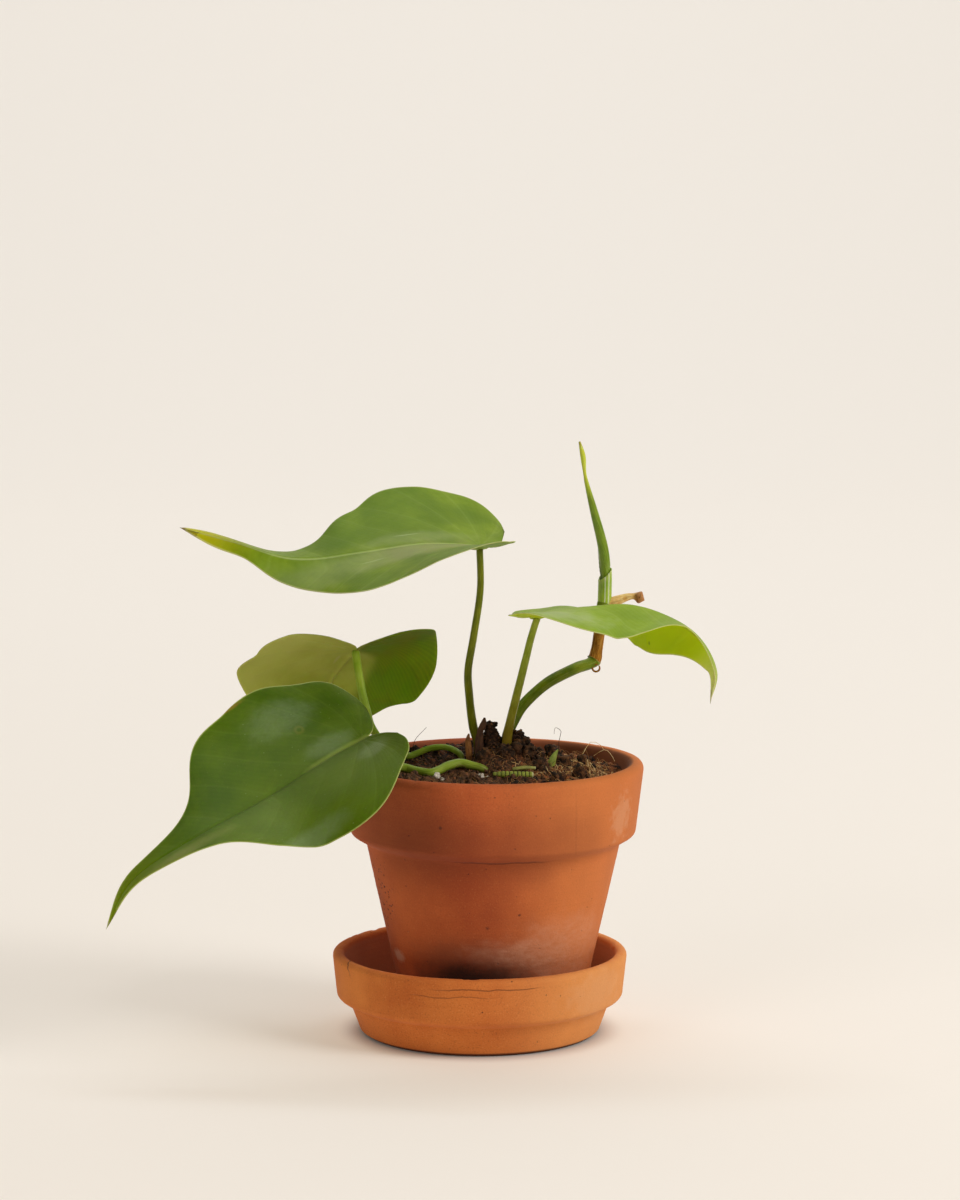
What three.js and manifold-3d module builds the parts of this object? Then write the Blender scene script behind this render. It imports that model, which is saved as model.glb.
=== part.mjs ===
// Young heartleaf climber in a terracotta pot that stands in its saucer.
// Millimetres, +Z up, the saucer's foot on z = 0 with its centre at the origin, the front at -Y.

import * as THREE from 'three';
import Module from 'manifold-3d';

const wasm = await Module();
wasm.setup();

// Driving dimensions

const SEAM = 0.3;
const BLADE_THICKNESS = 0.8;
const ROUND_STEPS = 48;

const SAUCER_RADIUS = 53.8;
const SAUCER_HEIGHT = 30;
const SAUCER_FLOOR = 5.5;

const POT_X = 4.8;
const POT_RADIUS = 55;
const POT_TOP = 100;
const POT_BASE = SAUCER_FLOOR + SEAM;
const POT_FLOOR = 12;
const HOLE_RADIUS = 6;

const SOIL_TOP = 96.5;
const SOIL_RIM_TOP = 97.5;
const MOUND = { x: 8, y: 8, rise: 8.5, rx: 11, ry: 14 };

// Flat outline of the leaf: each row gives the inner edge (lobe gap, then midrib) and the margin,
// as shares of the blade's length along it and of its half width across it.

const OUTLINE = [
  [-0.120, 0.42, -0.120, 0.42],
  [-0.080, 0.13, -0.115, 0.64],
  [-0.025, 0.00, -0.070, 0.83],
  [0.050, 0.00, 0.020, 0.94],
  [0.150, 0.00, 0.145, 1.00],
  [0.280, 0.00, 0.290, 0.96],
  [0.420, 0.00, 0.440, 0.70],
  [0.550, 0.00, 0.560, 0.35],
  [0.740, 0.00, 0.745, 0.15],
  [1.000, 0.00, 1.000, 0.00],
];
const GAP_ROWS = 2;
const ROW_SPLITS = 3;
const BLADE_COLUMNS = 3;
const WIDTH_AT = [-0.05, 0.15, 0.29, 0.44, 0.56, 0.75];
const TWIST_AT = [0, 0.35, 0.7, 1];
const FOLD_AT = [0, 0.4, 0.8];
const LOBE_SHARE = 0.12;
const MIDRIB_STATIONS = 200;

// Each leaf: midrib from the joint to the tip, half width, roll of the blade about its midrib,
// twist gained along it, and for the two halves how they fold up, curl, and bend behind the joint.
// The right half is the one on the right hand when looking from the joint to the tip.

const LEAVES = {
  top: {
    midrib: [[0, -1, 178.5], [-22, -7, 180], [-44, -10, 177], [-67, -10, 175], [-88, -4, 180.3],
      [-108.5, -5, 186]],
    half: 39, roll: 8, twist: [4, 22, 42],
    right: { fold: [12, 5, -40], curl: 10, lobe: -20, lobeLength: 0.85,
      width: [0.95, 1.07, 1.04, 0.98, 0.9, 1.2] },
    left: { fold: [15, -5, -20], curl: 4, lobe: 10, lobeLength: 0.45,
      width: [1, 0.96, 0.88, 1.06, 1.22, 1.05] },
  },
  right: {
    midrib: [[20.5, -3, 153.5], [39, -8, 157], [56, -11, 158], [75, -14, 150], [84, -24, 137],
      [83, -14, 122.7]],
    half: 31, roll: 4, twist: [2, 29, 0],
    right: { fold: [4, -26, -22], curl: 0, lobe: 5, lobeLength: 0.35,
      width: [1, 1, 1, 1, 1, 1] },
    left: { fold: [2, -42, -33], curl: 0, lobe: 5, lobeLength: 0.35,
      width: [0.9, 0.85, 0.72, 1.05, 1.4, 1.25] },
  },
  front: {
    midrib: [[-42, -37, 113.5], [-57, -44, 106], [-75, -50, 95], [-96, -60, 84.5], [-120, -64, 69.5],
      [-131, -63, 50.5]],
    half: 40, roll: 18, twist: [12, -5, -2],
    right: { fold: [10, 11, 4], curl: 8, lobe: -40, lobeLength: 1,
      width: [0.97, 1, 0.97, 1.1, 1.12, 1] },
    left: { fold: [16, 12, 3], curl: -10, lobe: 20, lobeLength: 0.5,
      width: [0.87, 1.13, 1, 1, 0.95, 1] },
  },
  back: {
    midrib: [[-46, 19.5, 138], [-50, 23, 136], [-56, 42, 122.5], [-59, 51, 104], [-63, 54, 85],
      [-67, 56, 66]],
    half: 37, roll: -4, twist: [-14, 0, 0],
    right: { fold: [10, -12, -5], curl: -6, lobe: -25, lobeLength: 0.9,
      width: [0.96, 1.07, 0.92, 1, 1, 1] },
    left: { fold: [11, -4, -5], curl: 0, lobe: -8, lobeLength: 0.55,
      width: [0.97, 1.04, 0.98, 1, 1, 1] },
  },
};

// Leaf stalks: points from below the blade's joint down into the soil. The radii start with two
// more, for the neck that meets the underside of the blade squarely.

const NECK = 3.5;

const PETIOLES = {
  top: {
    points: [[0.1, 1, 162.5], [-2.1, 2.5, 146.4], [-4.3, 4, 132.8],
      [-3.9, 6, 122.7], [-2.6, 8, 111.6], [-0.7, 8, 104], [0, 8, 90]],
    radii: [1.5, 1.25, 1.25, 1.35, 1.4, 1.5, 1.6, 1.7, 1.6],
  },
  right: {
    points: [[18.5, -2, 145.2], [16.4, 0, 136.2],
      [13.8, 2, 125.2], [11.2, 4.5, 114], [9.9, 6, 106], [9.5, 6, 88]],
    radii: [1.5, 1.3, 1.3, 1.4, 1.5, 1.6, 1.8, 1.7],
  },
  front: {
    points: [[-42.4, -28, 106.6], [-40, -20, 103.8],
      [-33, -13, 100.6], [-27, -10.5, 98.8], [-23, -13, 98.2], [-18.1, -15.5, 97.9],
      [-14.4, -13, 98.7], [-11, -9.5, 99.7], [-7.2, -7, 100.1], [-3.3, -7, 99.3],
      [1.6, -6.5, 97.6], [6, -4, 93]],
    radii: [1.8, 1.6, 1.6, 1.6, 1.6, 1.7, 1.65, 1.6, 1.6, 1.65, 1.6, 1.6, 1.5, 1.4],
  },
  back: {
    points: [[-44.7, 14, 130.9], [-43.1, 10, 123.1],
      [-41.5, 8, 117.2], [-39.9, 7, 111.5], [-35.5, 8, 104.8], [-30.8, 9, 100.9],
      [-26.2, 10, 99.9], [-23.5, 11, 100.6], [-19.6, 12, 102], [-15.8, 12, 102.8],
      [-11.9, 11, 102.8], [-8.5, 9, 101.7], [-6.8, 7, 99.9], [-7, 4.5, 94]],
    radii: [1.8, 1.5, 1.5, 1.5, 1.5, 1.5, 1.4, 1.3, 1.25, 1.2, 1.15, 1.15, 1.1, 1.1, 1.1, 1],
  },
};

// The climbing stem, its new leaf, and the dry and cut remains.

const VINE = {
  points: [[8.5, 12, 88], [9.7, 12, 105], [13, 13.5, 113], [17.5, 16, 118.3], [25.6, 20, 124.5],
    [35.5, 24, 129.4], [40.6, 26.5, 131.3], [42.6, 27.6, 133.4], [43.3, 28, 137], [44.1, 28, 142.1],
    [45, 28, 148], [46, 28, 154.4]],
  radii: [2, 2.1, 2.1, 2.1, 2.1, 2.15, 2.2, 2.6, 2.2, 2.15, 2.2, 2.5],
};
const NODE_LOOP = { centre: [43, 25.4, 130.4], radius: 1.35, thickness: 0.42 };
const SHEATH = {
  points: [[46, 28, 154.7], [46.2, 28, 158], [46.3, 28, 163], [46.2, 28, 168.5]],
  radii: [2.5, 2.45, 2.4, 2.35],
  tilt: [-0.55, -0.35, 1],
  mouth: [46.2, 28, 165],
};
const SHEATH_BORE = {
  points: [[46.2, 28, 156.7], [46.3, 28, 162], [46.3, 28, 172]],
  radii: [1.75, 1.75, 2.6],
};
const SPEAR = {
  points: [[46.2, 28, 157], [46.3, 28, 162], [46.3, 28, 166.6], [46, 28, 171], [44.9, 28, 177.4],
    [42.1, 28, 188.2], [39.5, 28, 198.2], [38.6, 28, 202.7], [37.9, 28, 208.9], [36.7, 28, 214.2]],
  radii: [1.4, 1.45, 1.9, 2.1, 2, 1.55, 0.9, 0.65, 1.05, 0.4],
};
const DRY_STALK = {
  points: [[46.5, 28, 153.6], [49.9, 28, 154.9], [54.4, 28, 156.6], [57, 28, 156.9],
    [59, 28, 156.5]],
  radii: [1, 1, 0.95, 1.2, 1.9],
};
const DRY_SCALES = {
  dry_scale_tall: {
    points: [[-0.2, 4.4, 100], [-0.3, 4.6, 105], [0, 4.8, 109.5], [1.2, 5, 112.5], [1.7, 5.2, 114.8]],
    radii: [1.3, 1.2, 0.9, 0.9, 0.45],
    flat: 0.55,
  },
  dry_scale_short: {
    points: [[-3.8, 5.4, 97.5], [-4.1, 5.2, 103], [-4.4, 5.6, 106.5], [-4.1, 5.9, 108.8]],
    radii: [0.8, 0.95, 0.7, 0.3],
    flat: 0.55,
  },
};
const CUT_STUBS = {
  ribbed_stub: {
    points: [[4.6, -19, 98], [12, -19.4, 98], [19, -19, 97.8]],
    radii: [0.7, 1.2, 1.05, 1.2, 1.05, 1.2, 1.05, 1.2, 1.05, 1.2, 1.05, 1.15, 0.6],
    even: true,
  },
  thin_stub: {
    points: [[12, -8.6, 98.1], [16, -8, 98.5], [20, -7, 98.3]],
    radii: [0.7, 0.8, 0.5],
  },
  cut_shoot: {
    points: [[25.4, 2, 91], [25.8, 2, 97], [27.8, 3, 102.7]],
    radii: [1.1, 1.2, 0.9],
  },
};

// Lumps of soil that stand round the stems: centre and radius.

const CLODS = [
  [4.3, 8, 105, 3.2], [4.2, 8.2, 108.4, 2.5], [3.8, 8, 110.9, 1.7], [15, 8, 104.8, 3],
  [14.2, 8.4, 107.8, 1.9], [9.5, 1, 102.5, 3], [1.5, 2, 101, 2.8], [18, 4, 102, 2.8],
  [22, -3, 98.5, 2.6], [13, 3, 104, 2.4], [-8, 1, 97.5, 2.6], [-30, -24, 97, 2.2],
  [30, 8, 98, 2.8], [36, -12, 97.5, 2.4], [27, 22, 99, 3], [-24, 26, 98, 2.6], [38, 14, 97.8, 2.2],
  [-2, -24, 97, 2.2], [28, -24, 97, 2.6], [3, 30, 99, 2.6],
];
const LOOSE_CLODS = { count: 26, reach: 44, smallest: 1.2, spread: 1.1 };

// Seeded draws and curves

function seeded(seed) {
  let state = seed;
  return () => {
    state = (state * 1664525 + 1013904223) % 4294967296;
    return state / 4294967296;
  };
}

function smooth(t) {
  const s = Math.min(Math.max(t, 0), 1);
  return s * s * (3 - 2 * s);
}

// Values given at stations, with a smooth step from each to the next.
function eased(x, stations, values) {
  let value = values[0];
  for (let i = 1; i < stations.length; i++) {
    if (x > stations[i - 1]) {
      const t = smooth((x - stations[i - 1]) / (stations[i] - stations[i - 1]));
      value = values[i - 1] + (values[i] - values[i - 1]) * t;
    }
  }
  return value;
}

function curveThrough(points) {
  const corners = points.map(([x, y = 0, z = 0]) => new THREE.Vector3(x, y, z));
  return new THREE.CatmullRomCurve3(corners, false, 'catmullrom');
}

// Closed solids

// A mesh that joins points of one place, drops faces with no area, and becomes a solid.
class Shell {
  constructor() {
    this.points = [];
    this.keys = new Map();
    this.faces = [];
  }

  point(p) {
    const key = [p.x, p.y, p.z].map((c) => Math.round(c * 2000)).join(' ');
    if (!this.keys.has(key)) {
      this.keys.set(key, this.points.length);
      this.points.push(p.clone());
    }
    return this.keys.get(key);
  }

  face(a, b, c) {
    if (a !== b && b !== c && a !== c) {
      this.faces.push([a, b, c]);
    }
  }

  quad(a, b, c, d) {
    this.face(a, b, c);
    this.face(a, c, d);
  }

  // Skins the space between rings of points that run anticlockwise seen from the last ring.
  skin(rings, firstMiddle, lastMiddle) {
    const count = rings[0].length;
    const last = rings.length - 1;
    for (let k = 0; k < count; k++) {
      const n = (k + 1) % count;
      for (let i = 0; i < last; i++) {
        this.quad(rings[i][k], rings[i][n], rings[i + 1][n], rings[i + 1][k]);
      }
      this.face(firstMiddle, rings[0][n], rings[0][k]);
      this.face(lastMiddle, rings[last][k], rings[last][n]);
    }
  }

  solid() {
    const vertProperties = new Float32Array(this.points.flatMap((p) => [p.x, p.y, p.z]));
    const triVerts = new Uint32Array(this.faces.flat());
    return new wasm.Manifold(new wasm.Mesh({ numProp: 3, vertProperties, triVerts }));
  }
}

function largest(solid) {
  const pieces = solid.decompose();
  pieces.sort((a, b) => b.volume() - a.volume());
  return pieces[0];
}

// A profile of [radius, z] turned about the upright axis. It runs up the outside and down the
// inside, and either closes on itself or starts and ends on the axis.
function turned(profile) {
  const points = profile.map(([radius, z]) => new THREE.Vector2(radius, z));
  return new THREE.LatheGeometry(points, ROUND_STEPS).rotateX(Math.PI / 2);
}

// A round stalk through points, grown by a margin where it cuts its own hole. Its radii are given
// at the points, or evenly along it. A flat one is thinner across its second direction.
function stalk(spec, { grow = 0, sides = 8, splits = 2 } = {}) {
  const { points, radii, flat = 1, even = false } = spec;
  const steps = even ? radii.length - 1 : (points.length - 1) * splits;
  const path = curveThrough(points);
  const width = curveThrough(radii.map((radius) => [radius]));
  const shell = new Shell();
  const rings = [];
  const ends = [];
  let side = new THREE.Vector3(1, 0, 0).cross(path.getTangent(0));
  for (let i = 0; i <= steps; i++) {
    const along = path.getTangent(i / steps);
    side = side.addScaledVector(along, -side.dot(along)).normalize();
    const other = along.clone().cross(side);
    const radius = width.getPoint(i / steps).x + grow;
    const middle = path.getPoint(i / steps);
    if (i === 0) {
      middle.addScaledVector(along, -grow);
    }
    if (i === steps) {
      middle.addScaledVector(along, grow);
    }
    if (i === 0 || i === steps) {
      ends.push(shell.point(middle));
    }
    const ring = [];
    for (let k = 0; k < sides; k++) {
      const angle = (2 * Math.PI * (k + 0.5)) / sides;
      ring.push(shell.point(middle.clone()
        .addScaledVector(side, radius * flat * Math.cos(angle))
        .addScaledVector(other, radius * Math.sin(angle))));
    }
    rings.push(ring);
  }
  shell.skin(rings, ends[0], ends[1]);
  return shell.solid();
}

// Leaf blades

// Places and directions along a midrib, with the sideways direction carried along it.
function midribFrames(leaf) {
  const curve = curveThrough(leaf.midrib);
  const last = MIDRIB_STATIONS - 1;
  const places = curve.getPoints(last);
  const travelled = [0];
  for (let i = 1; i <= last; i++) {
    travelled.push(travelled[i - 1] + places[i].distanceTo(places[i - 1]));
  }
  const length = travelled[last];
  const upright = new THREE.Vector3(0, 0, 1);
  const frames = [];
  let carried = null;
  for (let i = 0; i <= last; i++) {
    const ahead = places[Math.min(i + 1, last)];
    const behind = places[Math.max(i - 1, 0)];
    const along = ahead.clone().sub(behind).normalize();
    if (carried === null) {
      carried = along.clone().cross(upright).normalize();
      carried.applyAxisAngle(along, -THREE.MathUtils.degToRad(leaf.roll));
    }
    carried.addScaledVector(along, -carried.dot(along)).normalize();
    const share = travelled[i] / length;
    const twist = THREE.MathUtils.degToRad(eased(share, TWIST_AT, [0, ...leaf.twist]));
    const side = carried.clone().applyAxisAngle(along, -twist);
    frames.push({ share, place: places[i], along, side, up: side.clone().cross(along) });
  }
  return { length, frames };
}

function frameAt(rib, share) {
  const at = Math.min(Math.max(share, 0), 1);
  const found = rib.frames.findIndex((frame) => frame.share >= at);
  const next = Math.min(Math.max(found, 1), rib.frames.length - 1);
  const a = rib.frames[next - 1];
  const b = rib.frames[next];
  const t = (at - a.share) / (b.share - a.share);
  return {
    place: a.place.clone().lerp(b.place, t),
    along: a.along.clone().lerp(b.along, t).normalize(),
    side: a.side.clone().lerp(b.side, t).normalize(),
    up: a.up.clone().lerp(b.up, t).normalize(),
  };
}

// The point of the blade's middle surface at shares x along and y across one half.
function bladePoint(leaf, rib, half, sign, x, y) {
  const frame = frameAt(rib, x);
  const width = y * eased(x, WIDTH_AT, half.width);
  const beyond = Math.min(x, 0) * rib.length * half.lobeLength;
  const bend = (THREE.MathUtils.degToRad(half.lobe) * Math.max(-x / LOBE_SHARE, 0)) / 2;
  const fold = eased(Math.max(x, 0), FOLD_AT, half.fold) + (half.curl * width) / 2;
  const lift = THREE.MathUtils.degToRad(fold);
  const reach = width * leaf.half;
  return frame.place
    .addScaledVector(frame.along, beyond * Math.cos(bend))
    .addScaledVector(frame.up, -beyond * Math.sin(bend) + reach * Math.sin(lift))
    .addScaledVector(frame.side, sign * reach * Math.cos(lift));
}

// The middle surface: two halves that share the midrib and part at the gap between the lobes.
function bladeSurface(leaf) {
  const rib = midribFrames(leaf);
  const inner = curveThrough(OUTLINE.map((row) => row.slice(0, 2)));
  const outer = curveThrough(OUTLINE.map((row) => row.slice(2)));
  const rows = (OUTLINE.length - 1) * ROW_SPLITS;
  const shell = new Shell();
  for (const [half, sign] of [[leaf.right, 1], [leaf.left, -1]]) {
    const grid = [];
    for (let i = 0; i <= rows; i++) {
      const from = inner.getPoint(i / rows);
      const to = outer.getPoint(i / rows);
      from.y = i < GAP_ROWS * ROW_SPLITS ? Math.max(from.y, 0) : 0;
      to.y = Math.max(to.y, 0);
      const row = [];
      for (let j = 0; j <= BLADE_COLUMNS; j++) {
        const at = from.clone().lerp(to, j / BLADE_COLUMNS);
        row.push(shell.point(bladePoint(leaf, rib, half, sign, at.x, at.y)));
      }
      grid.push(row);
    }
    for (let i = 0; i < rows; i++) {
      for (let j = 0; j < BLADE_COLUMNS; j++) {
        const corners = [grid[i][j], grid[i][j + 1], grid[i + 1][j + 1], grid[i + 1][j]];
        if (sign < 0) {
          corners.reverse();
        }
        shell.quad(...corners);
      }
    }
  }
  return shell;
}

// Gives a surface its thickness: the same triangles on both faces, joined round the margin.
function thickened(surface, thickness) {
  const normals = surface.points.map(() => new THREE.Vector3());
  const edges = new Map();
  for (const face of surface.faces) {
    const [a, b, c] = face.map((i) => surface.points[i]);
    const normal = b.clone().sub(a).cross(c.clone().sub(a));
    face.forEach((v, k) => {
      const w = face[(k + 1) % 3];
      normals[v].add(normal);
      edges.set(`${v} ${w}`, [v, w]);
    });
  }
  const shell = new Shell();
  const shifted = (distance) => surface.points.map((p, i) => {
    const across = normals[i].clone().normalize();
    return shell.point(p.clone().addScaledVector(across, distance));
  });
  const top = shifted(thickness / 2);
  const under = shifted(-thickness / 2);
  for (const [a, b, c] of surface.faces) {
    shell.face(top[a], top[b], top[c]);
    shell.face(under[a], under[c], under[b]);
  }
  for (const [a, b] of edges.values()) {
    if (!edges.has(`${b} ${a}`)) {
      shell.quad(top[b], top[a], under[a], under[b]);
    }
  }
  return shell.solid();
}

// A leaf stalk with its upper end led squarely to the underside of the blade's joint.
function joined(petiole, leaf) {
  const { place, up } = frameAt(midribFrames(leaf), 0);
  const end = place.clone().addScaledVector(up, -BLADE_THICKNESS / 2 - SEAM);
  const neck = place.clone().addScaledVector(up, -NECK);
  return { ...petiole, points: [end.toArray(), neck.toArray(), ...petiole.points] };
}

// Climbing stem and new leaf

// The curled dry scale that hangs at the stem's bend.
function nodeLoop() {
  const { centre, radius, thickness } = NODE_LOOP;
  const points = [];
  for (let degrees = 70; degrees <= 400; degrees += 30) {
    const angle = THREE.MathUtils.degToRad(degrees);
    points.push([centre[0] + radius * Math.cos(angle), centre[1],
      centre[2] + radius * Math.sin(angle)]);
  }
  return stalk({ points, radii: points.map(() => thickness) }, { sides: 6, splits: 1 });
}

// The sheath's mouth is cut aslant, and its bore clears the foot of the rolled leaf.
function sheath() {
  const tilt = new THREE.Vector3(...SHEATH.tilt).normalize();
  const mouth = tilt.dot(new THREE.Vector3(...SHEATH.mouth));
  const whole = stalk(SHEATH, { sides: 12 });
  const cut = whole.trimByPlane(tilt.clone().negate().toArray(), -mouth);
  return largest(cut.subtract(stalk(SHEATH_BORE)));
}

function dryStalk() {
  return largest(stalk(DRY_STALK, { splits: 3 })
    .subtract(stalk(VINE, { sides: 10, grow: SEAM }))
    .subtract(stalk(SHEATH, { sides: 12, grow: SEAM })));
}

// Saucer, pot and soil

function saucer() {
  const rim = SAUCER_RADIUS;
  const lip = SAUCER_HEIGHT;
  const floor = SAUCER_FLOOR;
  return turned([
    [0, 0], [42.8, 0], [43.8, 0.9], [47.6, 11.1], [49.6, 12.1], [51.6, 13.7], [52.6, 15.8],
    [rim, lip - 2.2], [rim - 0.4, lip - 0.7], [rim - 1.5, lip], [rim - 2.9, lip - 0.1],
    [rim - 4, lip - 1.1], [rim - 4.5, lip - 3], [45.4, 13], [43.6, 8.4], [40.8, floor + 0.5],
    [36, floor], [0, floor],
  ]);
}

// Inner radius of the pot at height z: a straight taper from the floor to the lip.
function potInner(z) {
  return 29.5 + 0.253 * (z - 16);
}

function pot() {
  const top = POT_TOP;
  const rim = POT_RADIUS;
  const profile = [
    [HOLE_RADIUS + 0.5, POT_BASE], [31.2, POT_BASE], [32, POT_BASE + 0.9], [46, 68.4],
    [46.7, 70.6], [48.5, 71.9], [50.7, 73.1], [52, 75.2], [52.6, 77.8], [rim - 0.1, top - 3],
    [rim - 0.5, top - 1.2], [rim - 1.6, top - 0.2], [rim - 2.8, top], [rim - 4, top - 0.5],
    [rim - 4.8, top - 1.8], [potInner(96), 96], [potInner(16), 16], [28, POT_FLOOR + 0.8],
    [26, POT_FLOOR], [HOLE_RADIUS + 0.5, POT_FLOOR], [HOLE_RADIUS, POT_FLOOR - 0.6],
    [HOLE_RADIUS, POT_BASE + 0.6],
  ];
  return turned([...profile, profile[0]]);
}

// Height of the soil: a mound round the stems, a rise towards the back, and low lumps.
function soilHeight(x, y) {
  const { x: cx, y: cy, rise, rx, ry } = MOUND;
  const mound = rise * Math.exp(-(((x - cx) / rx) ** 2) - ((y - cy) / ry) ** 2);
  const back = 1.6 * smooth((y + 5) / 40);
  const lumps = 0.7 * Math.sin(0.33 * x + 0.21 * y + 1) * Math.sin(0.41 * y - 0.12 * x);
  return SOIL_TOP + mound + back + lumps;
}

// The soil fills the pot with a seam to its wall: rings up the wall, then in over the surface.
function soilBody(random) {
  const steps = 40;
  const ringsAcross = 11;
  const shell = new Shell();
  const ringOf = (radius, height) => {
    const ring = [];
    for (let k = 0; k < steps; k++) {
      const angle = (2 * Math.PI * k) / steps;
      const x = POT_X + radius * Math.cos(angle);
      const y = radius * Math.sin(angle);
      ring.push(shell.point(new THREE.Vector3(x, y, height(x, y))));
    }
    return ring;
  };
  const floor = POT_FLOOR + SEAM;
  const rings = [
    ringOf(26 - SEAM, () => floor),
    ringOf(28 - SEAM, () => POT_FLOOR + 1.2),
    ringOf(potInner(16.2) - SEAM, () => 16.2),
    ringOf(potInner(95.8) - SEAM, (x, y) => Math.min(soilHeight(x, y), SOIL_RIM_TOP)),
  ];
  for (let i = ringsAcross - 1; i > 0; i--) {
    const radius = (potInner(95.8) * i) / ringsAcross;
    rings.push(ringOf(radius, (x, y) => soilHeight(x, y) + 1.1 * (random() - 0.5)));
  }
  const bottom = shell.point(new THREE.Vector3(POT_X, 0, floor));
  const crown = shell.point(new THREE.Vector3(POT_X, 0, soilHeight(POT_X, 0)));
  shell.skin(rings, bottom, crown);
  return shell.solid();
}

// A clod: a ball of twenty faces with its corners moved in or out.
function clod(x, y, z, radius, random) {
  const corners = new THREE.IcosahedronGeometry(radius, 0).getAttribute('position');
  const shell = new Shell();
  for (let i = 0; i < corners.count; i += 3) {
    const [a, b, c] = [i, i + 1, i + 2].map((at) => {
      return shell.point(new THREE.Vector3().fromBufferAttribute(corners, at));
    });
    shell.face(a, b, c);
  }
  const place = new THREE.Vector3(x, y, z);
  for (const corner of shell.points) {
    corner.multiplyScalar(0.8 + 0.4 * random()).add(place);
  }
  return shell.solid();
}

function soil(holes) {
  const random = seeded(5);
  let body = soilBody(random);
  for (const [x, y, z, radius] of CLODS) {
    body = body.add(clod(x, y, z, radius, random));
  }
  for (let i = 0; i < LOOSE_CLODS.count; i++) {
    const angle = 2 * Math.PI * random();
    const reach = LOOSE_CLODS.reach * Math.sqrt(random());
    const x = POT_X + reach * Math.cos(angle);
    const y = reach * Math.sin(angle);
    const radius = LOOSE_CLODS.smallest + LOOSE_CLODS.spread * random();
    body = body.add(clod(x, y, soilHeight(x, y), radius, random));
  }
  for (const hole of holes) {
    body = body.subtract(hole);
  }
  return largest(body);
}

// The object

const COLOURS = {
  saucer: 0xc0743f,
  pot: 0xb5653f,
  soil: 0x3a2418,
  blade_top: 0x5c8436,
  blade_right: 0x8fae55,
  blade_front: 0x3f6f2c,
  blade_back: 0x627a35,
  petiole_top: 0x5d7030,
  petiole_right: 0x84803a,
  petiole_front: 0x6f9c3c,
  petiole_back: 0x5f8f38,
  vine: 0x6f7a34,
  sheath: 0x6ea23a,
  new_leaf: 0x5f9038,
  dry_stalk: 0xb0702c,
  dry_scale_tall: 0x5a3420,
  dry_scale_short: 0x9a5a28,
  ribbed_stub: 0x8fa03c,
  thin_stub: 0x9aa048,
  cut_shoot: 0x7fae3c,
};
const CLAY_ROUGHNESS = 0.8;
const SOIL_ROUGHNESS = 0.95;
const PLANT_ROUGHNESS = 0.45;

function geometryOf(solid) {
  const { vertProperties, triVerts } = solid.getMesh();
  const geometry = new THREE.BufferGeometry();
  geometry.setAttribute('position', new THREE.BufferAttribute(new Float32Array(vertProperties), 3));
  geometry.setIndex(new THREE.BufferAttribute(new Uint32Array(triVerts), 1));
  const faceted = geometry.toNonIndexed();
  faceted.computeVertexNormals();
  return faceted;
}

function piece(name, geometry, roughness) {
  const material = new THREE.MeshStandardMaterial({ color: COLOURS[name], roughness });
  const mesh = new THREE.Mesh(geometry, material);
  mesh.name = name;
  return mesh;
}

const potted = new THREE.Group();
potted.add(piece('saucer', saucer(), CLAY_ROUGHNESS));
const potMesh = piece('pot', pot(), CLAY_ROUGHNESS);
potMesh.position.x = POT_X;
potted.add(potMesh);

const plant = new THREE.Group();
const holes = [];
const grows = (name, solid) => plant.add(piece(name, geometryOf(solid), PLANT_ROUGHNESS));

for (const [name, leaf] of Object.entries(LEAVES)) {
  const petiole = joined(PETIOLES[name], leaf);
  grows(`blade_${name}`, thickened(bladeSurface(leaf), BLADE_THICKNESS));
  grows(`petiole_${name}`, stalk(petiole));
  holes.push(stalk(petiole, { grow: SEAM }));
}

grows('vine', stalk(VINE, { sides: 10 }).add(nodeLoop()));
grows('sheath', sheath());
grows('new_leaf', stalk(SPEAR));
grows('dry_stalk', dryStalk());
holes.push(stalk(VINE, { sides: 10, grow: SEAM }));

for (const [name, scale] of Object.entries(DRY_SCALES)) {
  grows(name, stalk(scale, { sides: 6 }));
  holes.push(stalk(scale, { sides: 6, grow: SEAM }));
}
for (const [name, stub] of Object.entries(CUT_STUBS)) {
  grows(name, stalk(stub));
  holes.push(stalk(stub, { grow: SEAM }));
}

potted.add(plant);
potted.add(piece('soil', geometryOf(soil(holes)), SOIL_ROUGHNESS));

export default potted;
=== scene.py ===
# %% [markdown]
# # A young heartleaf climber in a terracotta pot
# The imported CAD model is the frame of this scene: it says where each leaf, stalk and wall is.
# Every finer piece below is bent, spun or grown in the same place, in millimetres, and scaled to
# metres once, when its mesh is finished. That keeps the numbers readable.

# %% Load the frame
import math
import random
from bisect import bisect_left

import bmesh
import bpy
from mathutils import Matrix, Vector, noise


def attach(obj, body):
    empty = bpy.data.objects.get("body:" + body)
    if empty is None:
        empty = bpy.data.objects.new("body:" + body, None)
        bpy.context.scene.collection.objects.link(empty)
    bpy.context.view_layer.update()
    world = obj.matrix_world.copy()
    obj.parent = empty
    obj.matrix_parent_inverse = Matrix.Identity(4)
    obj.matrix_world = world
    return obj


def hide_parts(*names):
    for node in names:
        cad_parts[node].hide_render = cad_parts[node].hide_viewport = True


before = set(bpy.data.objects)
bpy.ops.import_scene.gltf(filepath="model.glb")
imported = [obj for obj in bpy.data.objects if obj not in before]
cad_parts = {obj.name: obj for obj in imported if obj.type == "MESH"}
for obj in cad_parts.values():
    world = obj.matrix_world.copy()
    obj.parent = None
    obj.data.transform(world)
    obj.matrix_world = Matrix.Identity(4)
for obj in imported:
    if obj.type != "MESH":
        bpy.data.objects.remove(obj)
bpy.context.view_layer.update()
MM = 0.001
print("nodes in the frame:", len(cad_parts))


# %% [markdown]
# ## Curves
# A plant has no straight lines. Each stalk, stem and midrib is a smooth curve that passes through
# every point that is given, where Blender's own curves would need handles as well, so a few
# measured points are enough. A value that changes along a piece, such as a leaf's width, steps
# smoothly from station to station.

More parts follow.
